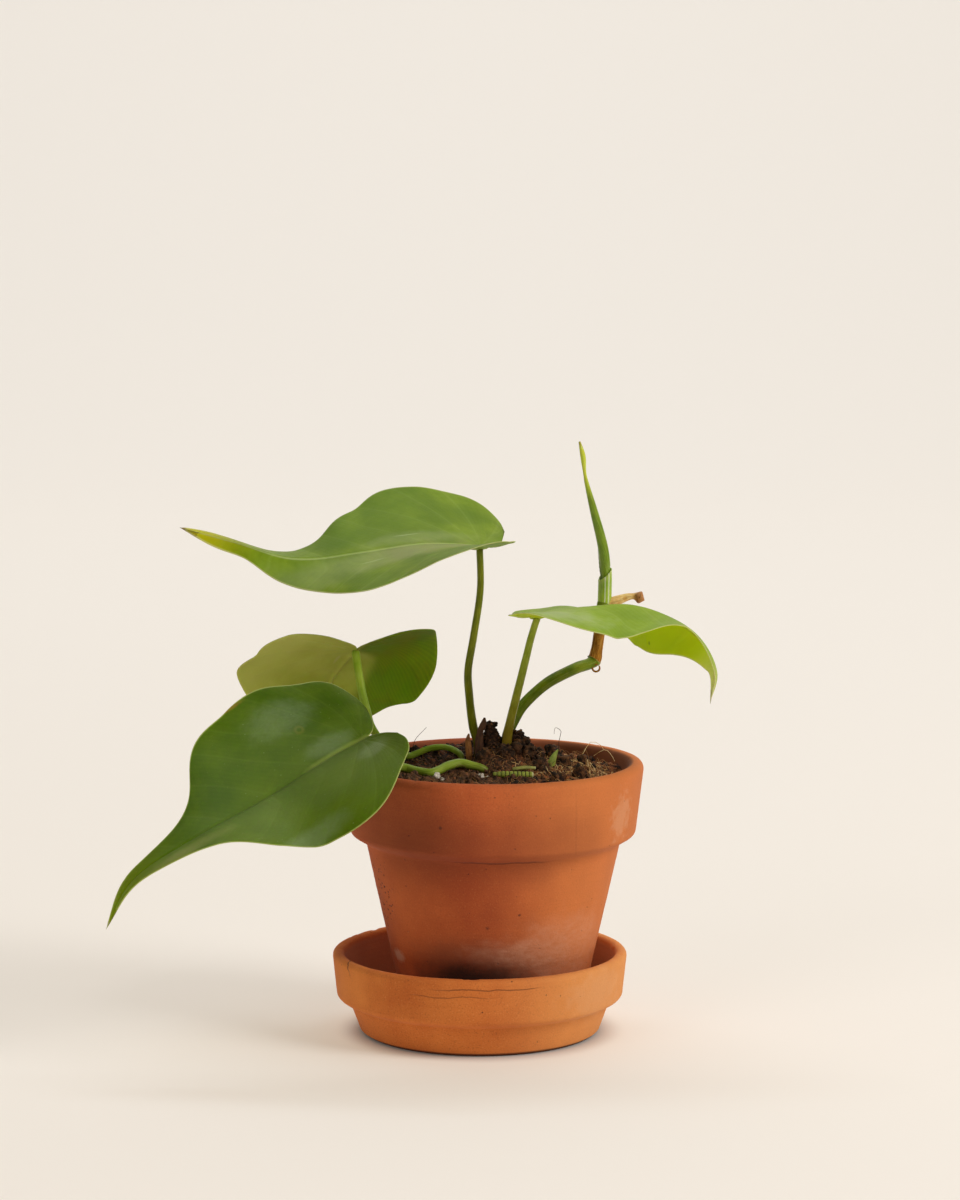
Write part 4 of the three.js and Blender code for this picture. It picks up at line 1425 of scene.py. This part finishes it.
def front_marks(finish, flat, on_top, colour, rough):
    ring = (spots(finish, flat, (15.6, 16.9, 1.7, 1.7), ragged=0.15)
            - spots(finish, flat, (15.6, 16.9, 1.0, 1.0), ragged=0.15))
    # Painted highlights: whitish sheens where the waxy blade reflects light; these patches are also
    # less rough.
    painted_sheen = spots(finish, flat, (18.8, 25.1, 12, 7), (10, 5.4, 9, 4), (36.9, -31.9, 13, 5),
                  (0.8, -13.6, 7, 5), ragged=0.35)
    painted_sheen = painted_sheen * (0.6 + finish.grain(1.4, 3, flat) * 0.8)
    dots = 1 - finish.cells(2.6, flat).between(0.05, 0.12)
    dusty = dots * finish.grain(9, 2, flat).between(0.45, 0.6)
    colour = layered(
        colour,
        (spots(finish, flat, (30, -22, 46, 24)) * on_top, 0.25, "7c8e10"),
        # Painted sheen: a faint broad haze of reflected light over the middle of the blade.
        (spots(finish, flat, (36, 2, 34, 26), ragged=0.5) * on_top, 0.08, "93a282"),
        (dusty * on_top, 0.3, "a9b088"),
        (spots(finish, flat, (88, -7, 24, 3.6), ragged=0.5) * on_top, 0.45, "8d8a4e"),
        (spots(finish, flat, (7, 0, 15, 1.3), ragged=0.6), 0.32, "a9b45c"),
        (ring, 0.5, "80763c"),
        (spots(finish, flat, (33.5, 38.8, 6.5, 0.8), ragged=0.3), 0.8, "8a6a2c"),
        # The painted highlights of the sheens.
        (painted_sheen * on_top, 0.24, "93a282"),
    )
    return colour, rough - painted_sheen * 0.06


# %% [markdown]
# The camera sees the top leaf at a low angle. Its far half is painted darker green, as shade, and
# greyish sheens are painted along its midrib and near its joint, as highlights. Its tip has two
# brown spots where it dried.

# %% Marks of the top leaf
def top_marks(finish, flat, on_top, colour, rough):
    x, y, margin = finish.parts(flat)
    # Painted shade: the far half of the upper face is painted darker green.
    shaded_far_half = y.between(1.5, 9) * x.between(6, 30) * (1 - x.between(60, 84)) * on_top
    brown = strongest(spots(finish, flat, (104.6, 4.6, 2.4, 1.5)),
                      spots(finish, flat, (111.6, 0, 1.6, 1.5), ragged=0.3))
    # Painted highlights: greyish sheens along the midrib.
    painted_sheen = strongest(spots(finish, flat, (40, -9, 34, 7), ragged=0.6),
                      spots(finish, flat, (24, 6, 18, 4), (70, -13, 20, 5), ragged=0.7))
    # Painted sheen: a grey-brown highlight near the joint.
    painted_sheen_near_joint = spots(finish, flat, (14, -9, 26, 10), ragged=0.6)
    colour = layered(
        colour,
        # Painted shade on the far half.
        (shaded_far_half, 0.4, "4c6a02"),
        (painted_sheen * on_top, 0.3, "98a070"),
        (brown, 0.85, "7a5a24"),
        (spots(finish, flat, (57.8, 18.5, 0.8, 0.8), ragged=0.2), 0.7, "4b5a1c"),
        (painted_sheen_near_joint * on_top, 0.3, "a89e72"),
        (spots(finish, flat, (26.1, 7.9, 4.5, 0.35), (40.4, -9.3, 4, 0.4)), 0.25, "c3cf9a"),
    )
    return colour, rough


# %% [markdown]
# The camera looks at the underside of the other two. The lobe of the back leaf that lies in
# shade is painted deeper green, with fine dark lines, and the other half of its underside is
# painted paler, as the light that falls on it.

# %% Marks of the right and back leaves
def right_marks(finish, flat, on_top, colour, rough):
    x, y, margin = finish.parts(flat)
    bloom = spots(finish, flat, (6, 20, 20, 9), ragged=0.9) * on_top
    colour = layered(
        colour,
        (x.between(64, 90) * (1 - on_top), 0.6, "c6ca90"),
        (bloom, 0.26, "ccd1b4"),
        (spots(finish, flat, (46.8, -12.6, 0.5, 0.5), ragged=0.2), 0.7, "6b6f2a"),
    )
    return colour, rough + bloom * 0.1


def back_marks(finish, flat, on_top, colour, rough):
    x, y, margin = finish.parts(flat)
    phase = finish.parts(finish.attribute("vein"))[0]
    shaded = (y - x.between(0, 13) * 11).between(-2, 4) * (1 - on_top)
    fine = (phase * 9).maths("PINGPONG", 0.5).between(0.5, 0.1)
    lobe = finish.grain(14, 3, flat).between(0.3, 0.7).blend("5c7402", "6e7006")
    colour = layered(
        colour,
        (shaded, 0.88, layered(lobe, (fine, 0.3, "3a4a00"))),
        # Painted light: this half of the back leaf's underside is painted paler, where light falls
        # on it.
        (y.between(-8, -34) * (1 - on_top), 0.5, "bab868"),
        (spots(finish, flat, (10.8, -3.8, 3.4, 0.6)), 0.7, "a69a5e"),
    )
    return colour, rough


# %% [markdown]
# Now the four blades can be made, each with its own marks. The table lists each one's slot in the
# record too.

# %% Four blades
BLADES = {
    "top": ("leaf_mid", top_marks),
    "right": ("leaf_pale", right_marks),
    "front": ("leaf_deep", front_marks),
    "back": ("leaf_mid", back_marks),
}

for name, (slot, marks) in BLADES.items():
    blade = blade_sheet(LEAVES[name], RIBS[name])
    relief(blade, RIBS[name], LEAVES[name]["waves"])
    look = leaf_finish("leaf_" + name, RIBS[name].length, LOOKS[name], marks)
    finished(blade, "leaf_blade_" + name, look, slot, "blade_" + name)


# %% [markdown]
# ## Tubes
# A stalk is a grid rolled into a tube along its curve, with a pole at each end. Its width
# changes along it. A curve with a bevel would be shorter, but has no attribute for the fibres
# and no say over its cross-section, which is ribbed, wrinkled, ringed or flat here. In the
# attribute "flat" of a tube x is the way along in millimetres, y the turn, and z the share.

# %% Tubes
CAP_ROWS = 4
CAP_BULGE = 0.35


def tube(mesh, points, radii, sides=20, rows=90, shape=None):
    """Rolls a grid into a closed tube. shape(turn, t) gives the share of the radius."""
    path = Curve(points)
    width = Curve([(radius, 0, 0) for radius in radii])
    side = Vector((1, 0, 0)).cross(path.along(0))
    frames = []
    way = 0.0
    for j in range(rows + 1):
        t = j / rows
        along = path.along(t)
        side = (side - along * side.dot(along)).normalized()
        here = path.at(t)
        if frames:
            way += (here - frames[-1][0]).length
        frames.append((here, along, side.copy(), along.cross(side), max(width.at(t).x, 0.02), way))

    def place(i, j):
        turn = math.tau * i / sides
        near = min(j, rows + 2 * CAP_ROWS - j, CAP_ROWS) / CAP_ROWS * math.pi / 2
        row = min(max(j - CAP_ROWS, 0), rows)
        here, along, side, other, radius, way = frames[row]
        share = shape(turn, row / rows) if shape else 1
        bulge = CAP_BULGE * radius * math.cos(near)
        bulge = bulge if row == rows else -bulge if row == 0 else 0
        reach = radius * math.sin(near) * share
        point = here + side * reach * math.cos(turn) + other * reach * math.sin(turn)
        return point + along * bulge, Vector((way, turn, row / rows))

    bent_grid(mesh, sides, rows + 2 * CAP_ROWS, place)
    seal(mesh)


trial = new_mesh()
tube(trial, [(0, 0, 0), (0, 0, 10)], (1, 1))
print("faces of a trial tube:", len(trial.faces))
trial.free()


# %% [markdown]
# A stalk isn't quite round. Low ribs run along it, and slow bumps lie over them. Noise that is
# read on a circle has the same value after a whole turn, so it leaves no seam.

# %% Ribs of a stalk
def around(turn, height):
    """A point that moves in a circle with the turn, so noise closes on itself there."""
    return Vector((math.cos(turn), math.sin(turn), height))


def ribbed(depth, ribs, seed):
    """Low ribs that run along, with slow bumps of their own."""
    def shape(turn, t):
        bump = noise.noise(around(turn, t * 9 + seed))
        return 1 + depth * math.cos(ribs * turn) + 0.05 * bump
    return shape


print("share of the radius on a rib:", round(ribbed(0.03, 5, 1)(0, 0), 3))


# %% [markdown]
# ## Finish of the stalks
# A leaf stalk is juicy and glossy, with fine pale lines, and turns brown towards the soil. The
# sheath has the same finish, only wetter, with two painted highlights: bright lines where its
# glossy wall catches the light.

# %% Stalk finish
def stalk_finish(name, light, deep, base, base_from, pale, wet=0.0, glints=()):
    finish = Finish(name)
    way, turn, share = finish.parts(finish.attribute("flat"))
    streaks = finish.lines(0.35, way * 0.08, turn * 1.6)
    mottle = finish.grain(6, 3)
    speckle = finish.grain(0.6, 2)
    # Painted highlights: bright lines at fixed turns of the sheath's wall.
    bright = [1 - abs(turn + speckle * 0.08 - angle).between(0.02, 0.15) for angle in glints]
    colour = layered(
        mottle.between(0.3, 0.7).blend(light, deep),
        (streaks.between(0.45, 0.75), 0.45, pale),
        (share.between(base_from, 1.0), 1, base),
        (speckle.between(0.66, 0.78), 0.3, pale),
        # The painted highlight lines.
        *[(line * share.between(0.05, 0.3), 0.65, "f4f8e0") for line in bright],
    )
    tissue = green_tissue(0.12, 0.002, 0.3, (0.6, 1.0, 0.25), wet)
    return finish.surface(colour, 0.3 + mottle * 0.14, streaks * 0.12 + speckle * 0.03, tissue)


# %% [markdown]
# ## Four leaf stalks
# The upper end of a stalk bends into the underside of its blade, where stalk and midrib are one,
# so its first point is the blade's own joint. The other points go down to the soil.

# %% Shapes of the four stalks
STALKS = {
    "top": {
        "points": [(0.1, 1, 162.5), (-2.1, 2.5, 146.4), (-4.3, 4, 132.8), (-3.9, 6, 122.7),
                   (-2.6, 8, 111.6), (-0.7, 8, 104), (0, 8, 90)],
        "radii": (1.25, 1.25, 1.35, 1.4, 1.5, 1.6, 1.7, 1.6),
        "slot": "stalk_olive", "seed": 116,
        "look": ("767c10", "606a08", "5f5010", 0.62, "969a34"),
    },
    "right": {
        "points": [(18.5, -2, 145.2), (16.4, 0, 136.2), (13.8, 2, 125.2), (11.2, 4.5, 114),
                   (9.9, 6, 106), (9.5, 6, 88)],
        "radii": (1.3, 1.3, 1.4, 1.5, 1.6, 1.8, 1.7),
        "slot": "stalk_olive", "seed": 114,
        "look": ("a6b23a", "8c9c26", "8c6c18", 0.3, "c2c468"),
    },
    "front": {
        "points": [(-42.4, -28, 106.6), (-40, -20, 103.8), (-33, -13, 100.6), (-27, -10.5, 98.8),
                   (-23, -13, 98.2), (-18.1, -15.5, 97.9), (-14.4, -13, 98.7), (-11, -9.5, 99.7),
                   (-7.2, -7, 100.1), (-3.3, -7, 99.3), (1.6, -6.5, 97.6), (6, -4, 93)],
        "radii": (1.6, 1.6, 1.6, 1.6, 1.7, 1.65, 1.6, 1.6, 1.65, 1.6, 1.6, 1.5, 1.4),
        "slot": "stalk_green", "seed": 102,
        "look": ("91a634", "799222", "4c4a1c", 0.8, "a8bc60"),
    },
    "back": {
        "points": [(-44.7, 14, 130.9), (-43.1, 10, 123.1), (-41.5, 8, 117.2), (-39.9, 7, 111.5),
                   (-35.5, 8, 104.8), (-30.8, 9, 100.9), (-26.2, 10, 99.9), (-23.5, 11, 100.6),
                   (-19.6, 12, 102), (-15.8, 12, 102.8), (-11.9, 11, 102.8), (-8.5, 9, 101.7),
                   (-6.8, 7, 99.9), (-7, 4.5, 94)],
        "radii": (1.5, 1.5, 1.5, 1.5, 1.5, 1.4, 1.3, 1.25, 1.2, 1.15, 1.15, 1.1, 1.1, 1.1, 1),
        "slot": "stalk_green", "seed": 98,
        "look": ("98ae34", "7a9a20", "4c4a1c", 0.82, "a9bd60"),
    },
}
print("points of each stalk:", {name: len(stalk["points"]) for name, stalk in STALKS.items()})


# %% [markdown]
# Each tube starts a millimetre below the middle of its blade, inside the ridge of the midrib, so
# that no gap shows between stalk and blade.

# %% Four leaf stalks
STALK_RIBS = 5
STALK_ROWS = 100

for name, stalk in STALKS.items():
    joint, along, side, up = RIBS[name].at(0)
    mesh = new_mesh()
    tube(mesh, [joint - up * 1.0, *stalk["points"]], stalk["radii"], 20, STALK_ROWS,
         ribbed(0.03, STALK_RIBS, stalk["seed"]))
    finish = stalk_finish("stalk_" + name, *stalk["look"])
    finished(mesh, "leaf_stalk_" + name, finish, stalk["slot"], "petiole_" + name)


# %% [markdown]
# ## Climbing stem
# The stem is green up to its bend. Beyond the node it has turned brown and woody. A node is a
# swollen ring where a leaf once sat, with its dry scale curled beside it as a small loop. Where
# the brown starts is told by the share along the tube, and a height stops it at the sheath.

# %% Shape of the stem
VINE = {
    "points": [(8.5, 12, 88), (9.7, 12, 105), (12.8, 13.5, 113.4), (17.2, 16, 119.4),
               (25.4, 20, 125.9), (35.3, 24, 130.4), (40.6, 26.5, 131.9), (42.6, 27.6, 133.6),
               (43.3, 28, 137), (44.1, 28, 142.1), (45, 28, 148), (46, 28, 154.4)],
    "radii": (2, 2.1, 2.1, 2.1, 2.1, 2.15, 2.2, 2.6, 2.2, 2.15, 2.2, 2.5),
}
NODE_SHARE = 0.615
TOP_SHARE = 0.985
LOOP = {"centre": (43, 25.4, 130.4), "radius": 1.35, "from": 70, "to": 400, "turn": 30}
LOOP_RADII = [0.25] + [0.36] * 9 + [0.3, 0.2]
LOOP_SHARE = 0.75


def swollen(turn, t):
    bump = noise.noise(around(turn, t * 14))
    node = math.exp(-((t - NODE_SHARE) / 0.012) ** 2)
    joint = math.exp(-((t - TOP_SHARE) / 0.02) ** 2)
    return 1 + 0.03 * math.cos(6 * turn) + 0.05 * bump + 0.1 * node + 0.1 * joint


def loop_points():
    x, y, z = LOOP["centre"]
    angles = [math.radians(a) for a in range(LOOP["from"], LOOP["to"] + 1, LOOP["turn"])]
    return [(x + LOOP["radius"] * math.cos(a), y, z + LOOP["radius"] * math.sin(a)) for a in angles]


print("points of the loop:", len(loop_points()))


# %% [markdown]
# The loop is a tube of its own in the same mesh. Its share is set beyond the node's, so that the
# finish gives it the brown of the dry part.

# %% Climbing stem
def stem_finish():
    finish = Finish("stem")
    z = finish.parts(finish.place)[2]
    way, turn, share = finish.parts(finish.attribute("flat"))
    lines = finish.lines(0.35, way * 0.07, turn * 1.6)
    mottle = finish.grain(4, 4)
    woody = (share + mottle * 0.006).between(0.617, 0.625) * (1 - z.between(150.5, 151.5))
    rings = (share * 150).maths("PINGPONG", 0.5).between(0.3, 0.1) * (1 - share.between(0.64, 0.67))
    brown = layered(
        mottle.between(0.35, 0.7).blend("8e5a02", "683c00"),
        (lines.between(0.4, 0.7), 0.5, "dca04a"),
    )
    colour = layered(
        mottle.between(0.3, 0.7).blend("728404", "536c02"),
        (lines.between(0.45, 0.75), 0.4, "a0a04e"),
        (1 - z.between(104, 112), 0.7, "594c22"),
        (woody, 1, brown),
        (rings * woody, 0.5, "7a4408"),
        (1 - abs(share - 0.612).between(0.001, 0.005), 0.7, "c8bc70"),
    )
    height = lines * (0.12 + woody * 0.2) + mottle * 0.15 * woody
    return finish.surface(colour, 0.42 + woody * 0.25, height, green_tissue(0.08, 0.002, 0.3))


stem = new_mesh()
tube(stem, VINE["points"], VINE["radii"], 28, 150, swollen)
stem_corners = set(stem.verts)
tube(stem, loop_points(), LOOP_RADII, 12, 44)
flat = stem.verts.layers.float_vector["flat"]
for v in stem.verts:
    if v not in stem_corners:
        v[flat].z = v[flat].z / 4 + LOOP_SHARE
finished(stem, "climbing_stem", stem_finish(), "stem", "vine")


# %% [markdown]
# ## Sheath
# The stem ends in a glossy sheath, an open tube that is cut aslant. Its grid goes up the outside,
# round the lip and down the inside, so the wall has a real thickness where one looks into it.

# %% Shape of the sheath
SHEATH = {
    "points": [(46, 28, 152), (46.2, 28, 158), (46.3, 28, 163), (46.2, 28, 168.5)],
    "mouth": (46.2, 28, 165), "slope": (0.9, 0.4), "radius": 2.45, "wall": 0.45,
    "look": ("a6c43c", "86a824", "a8bc58", 0.8, "b8cc70"), "wet": 0.6, "glints": (4.75, 5.35),
}
SHEATH_SIDES = 40
OUTER_ROWS, LIP_ROWS, INNER_ROWS = 34, 6, 30
SHEATH_PATH = Curve(SHEATH["points"])
print("rows of the sheath:", OUTER_ROWS + LIP_ROWS + INNER_ROWS)


# %% [markdown]
# The lip is a tilted plane with a little noise, and each column of the grid goes up to it and back
# down. The first and the last row are drawn together to a point, so the wall is closed.

# %% Sheath
def lip_height(x, y):
    mouth, slope = SHEATH["mouth"], SHEATH["slope"]
    lift = slope[0] * (x - mouth[0]) + slope[1] * (y - mouth[1])
    return mouth[2] + lift + 0.25 * noise.noise(Vector((x, y, 0)) * 0.9)


def sheath_corner(i, j):
    foot, end = SHEATH["points"][0][2], SHEATH["points"][-1][2]
    turn = math.tau * i / SHEATH_SIDES
    out = Vector((math.cos(turn), math.sin(turn), 0))
    past = j - OUTER_ROWS
    if past <= 0:
        t, radius = j / OUTER_ROWS, SHEATH["radius"]
    elif past <= LIP_ROWS:
        t, radius = 1, SHEATH["radius"] - SHEATH["wall"] * past / LIP_ROWS
    else:
        t = 1 - 0.8 * (past - LIP_ROWS) / INNER_ROWS
        radius = SHEATH["radius"] - SHEATH["wall"] * (0.7 + 0.3 * t)
    edge = SHEATH_PATH.at(0.85) + out * radius
    z = foot + (lip_height(edge.x, edge.y) - foot) * t
    middle = SHEATH_PATH.at((z - foot) / (end - foot))
    lump = noise.noise(out * 2 + Vector((0, 0, z / 3)))
    swell = 1 + 0.06 * math.cos(turn * 2 + 0.6) + 0.03 * lump
    if past <= 0:
        swell *= 0.86 + 0.14 * smooth(t * 6)
    round_off = 0.15 * math.sin(math.pi * min(max(past, 0), LIP_ROWS) / LIP_ROWS)
    point = Vector((middle.x, middle.y, z + round_off)) + out * radius * swell
    if j in (0, OUTER_ROWS + LIP_ROWS + INNER_ROWS):
        point = Vector((middle.x, middle.y, z))
    return point, Vector((z - foot, turn, t))


sheath = new_mesh()
bent_grid(sheath, SHEATH_SIDES, OUTER_ROWS + LIP_ROWS + INNER_ROWS, sheath_corner)
seal(sheath)
sheath_finish = stalk_finish("sheath", *SHEATH["look"], SHEATH["wet"], SHEATH["glints"])
finished(sheath, "stem_sheath", sheath_finish, "shoot", "sheath")


# %% [markdown]
# ## Rolled new leaf
# The newest leaf stands in the sheath, still rolled like a cigar. A tube whose radius drops at
# one turn has the step of a rolled margin, and because that turn changes along the tube, the
# seam winds up to the tip. The finish draws a dark line at the same place.

# %% Rolled new leaf
SPEAR = {
    "points": [(46.2, 28, 157), (46.3, 28, 162), (46.3, 28, 166.6), (46, 28, 171),
               (44.9, 28, 177.4), (42.1, 28, 188.2), (39.5, 28, 198.2), (38.6, 28, 202.7),
               (37.9, 28, 208.9), (36.7, 28, 214.2)],
    "radii": (1.4, 1.5, 2.05, 2.2, 2.05, 1.6, 0.92, 0.65, 1.05, 0.4),
}
WINDING = 0.62
SEAM_START = 0.1


def rolled(turn, t):
    """The radius drops where the margin of the rolled leaf ends, and grows from there."""
    wound = (turn / math.tau + WINDING * t + SEAM_START) % 1
    return 1.04 - 0.2 * smooth(wound / 0.07) + 0.16 * wound


def rolled_finish():
    finish = Finish("rolled_leaf")
    z = finish.parts(finish.place)[2]
    way, turn, share = finish.parts(finish.attribute("flat"))
    wound = (turn / math.tau + share * WINDING + SEAM_START).maths("FRACT")
    seam = 1 - abs(wound - 0.03).between(0.0, 0.05)
    lines = finish.lines(0.3, way * 0.06, wound * 9)
    mottle = finish.grain(7, 3)
    colour = layered(
        mottle.between(0.3, 0.7).blend("7c9624", "648218"),
        (lines.between(0.45, 0.7), 0.4, "a3b45c"),
        (z.between(190, 205), 1, "c8d444"),
        (seam, 0.6, "445a18"),
        (z.between(211, 214), 0.6, "8a7a30"),
    )
    tissue = green_tissue(0.12, 0.002, 0.3, coat=0.25)
    return finish.surface(colour, 0.34 + mottle * 0.1, lines * 0.1 - seam * 0.2, tissue)


spear = new_mesh()
tube(spear, SPEAR["points"], SPEAR["radii"], 40, 150, rolled)
finished(spear, "rolled_leaf", rolled_finish(), "shoot", "new_leaf")


# %% [markdown]
# ## Dry remains
# A leaf stalk that fell off leaves a dry stub with a flared, hollow end, and thin brown scales
# stand where stalks come out of the soil. They are the same tubes again: seven deep wrinkles make
# the stub, and a tube that is pressed flat, with torn edges, makes a scale.

# %% Shapes of the dry remains
DRY_PIECES = {
    "dry_stalk": {
        "piece": "dry_stalk_stub",
        "points": [(46.5, 28, 153.6), (49.9, 28, 154.9), (54.4, 28, 156.6), (57, 28, 156.9),
                   (59, 28, 156.5), (58.2, 28, 156.7), (56.4, 28, 156.8)],
        "radii": (1.9, 1.9, 1.3, 1.15, 2.15, 1.5, 0.5), "rows": 90,
        "look": ("ffe096", "f0bc64", "bc8438", 0.75),
    },
    "dry_scale_tall": {
        "piece": "scale_tall",
        "points": [(-0.2, 4.4, 100), (-0.3, 4.6, 105), (0, 4.8, 109.5), (1.2, 5, 112.5),
                   (1.7, 5.2, 114.8)],
        "radii": (1.5, 1.6, 1.2, 1.15, 0.4), "rows": 60,
        "look": ("542e18", "341a0c", "7c4c28", 0.0),
    },
    "dry_scale_short": {
        "piece": "scale_short",
        "points": [(-3.8, 5.4, 97.5), (-4.1, 5.2, 103), (-4.4, 5.6, 106.5), (-4.1, 5.9, 108.8)],
        "radii": (1, 1.25, 0.95, 0.3), "rows": 60,
        "look": ("a8682c", "7f4a1e", "c98f4c", 0.0),
    },
}
print("dry pieces:", [dry["piece"] for dry in DRY_PIECES.values()])


# %% [markdown]
# Dead tissue is dull and fibrous, so its finish has stronger lines than that of a green stalk and
# no light inside. The flared end of the stub is darker.

# %% Dry remains
def wrinkled(turn, t):
    ribs = 0.1 * math.cos(7 * turn + 3 * t) + 0.06 * math.cos(12 * turn)
    return 1 + ribs * (1 - 0.6 * t) + 0.1 * noise.noise(around(turn, t * 7))


def flattened(turn, t):
    """Across the tube's own side the scale is thin, and its edges are torn."""
    thin = 1 / math.sqrt((math.cos(turn) / 0.5) ** 2 + math.sin(turn) ** 2)
    return thin * (1 + 0.18 * noise.noise(around(turn, t * 16)) * t)


def dry_finish(name, light, deep, pale, ends):
    finish = Finish(name)
    way, turn, share = finish.parts(finish.attribute("flat"))
    lines = finish.lines(0.35, way * 0.1, turn * 1.8)
    mottle = finish.grain(2.2, 4)
    colour = layered(
        mottle.between(0.3, 0.7).blend(light, deep),
        (lines.between(0.4, 0.7), 0.6, pale),
        (share.between(0.46, 0.6), ends, "9a5420"),
    )
    return finish.surface(colour, 0.6 + mottle * 0.2, lines * 0.25 + mottle * 0.1)


for node, dry in DRY_PIECES.items():
    mesh = new_mesh()
    shape = wrinkled if node == "dry_stalk" else flattened
    tube(mesh, dry["points"], dry["radii"], 24, dry["rows"], shape)
    finished(mesh, dry["piece"], dry_finish(node, *dry["look"]), "dry", node)


# %% [markdown]
# ## Cut stems
# Three cut stems remain from pruning. One lies on the soil and has close rings all along it,
# with dark gaps between them: the tube's radius and the finish both follow the same ten rings.

# %% Shapes of the cut stems
RINGS = 10
STUBS = {
    "ribbed_stub": {
        "piece": "stub_ribbed", "slot": "stub", "rings": RINGS,
        "points": [(4.6, -19, 98), (12, -19.4, 98), (19, -19, 97.8)],
        "radii": (0.7, 1.15, 1.15, 1.15, 1.1), "look": ("8f9a26", "707c18", "a8ae50"),
    },
    "thin_stub": {
        "piece": "stub_thin", "slot": "stub", "rings": 1,
        "points": [(12, -8.6, 98.1), (16, -8, 98.5), (20, -7, 98.3)],
        "radii": (0.7, 0.8, 0.6), "look": ("959640", "7c7a34", "b0ae66"),
    },
    "cut_shoot": {
        "piece": "stub_cut", "slot": "shoot", "rings": 0,
        "points": [(25.4, 2, 91), (25.8, 2, 97), (26.9, 2.6, 100.6), (28.5, 3.2, 103.4)],
        "radii": (0.7, 1.15, 1.35, 0.95, 0.2), "look": ("98a83c", "788a2c", "bcc46c"),
    },
}
print("cut stems:", [stub["piece"] for stub in STUBS.values()])


# %% [markdown]
# The end of a cut stem that lies on the soil is pale, where the knife went through.

# %% Cut stems
def ringed(turn, t):
    ring = abs(math.sin(math.pi * RINGS * t)) ** 0.5
    return 0.82 + 0.22 * ring + 0.03 * math.cos(5 * turn)


def stub_finish(name, light, deep, pale, rings):
    finish = Finish(name)
    way, turn, share = finish.parts(finish.attribute("flat"))
    lines = finish.lines(0.3, way * 0.1, turn * 1.5)
    mottle = finish.grain(1.6, 4)
    gap = 1 - (share * rings).maths("PINGPONG", 0.5).between(0.02, 0.16)
    colour = layered(
        mottle.between(0.3, 0.7).blend(light, deep),
        (lines.between(0.4, 0.7), 0.4, pale),
        (gap, 0.9 if rings > 1 else 0, "241e08"),
        (share.between(0.965, 0.985), 0.8 if rings > 0 else 0, "c9c58c"),
    )
    return finish.surface(colour, 0.5 + mottle * 0.15, lines * 0.1 - gap * 0.15)


for node, stub in STUBS.items():
    mesh = new_mesh()
    shape = ringed if stub["rings"] == RINGS else ribbed(0.04, STALK_RIBS, 1)
    tube(mesh, stub["points"], stub["radii"], 22, 110, shape)
    finish = stub_finish(node, *stub["look"], stub["rings"])
    finished(mesh, stub["piece"], finish, stub["slot"], node)
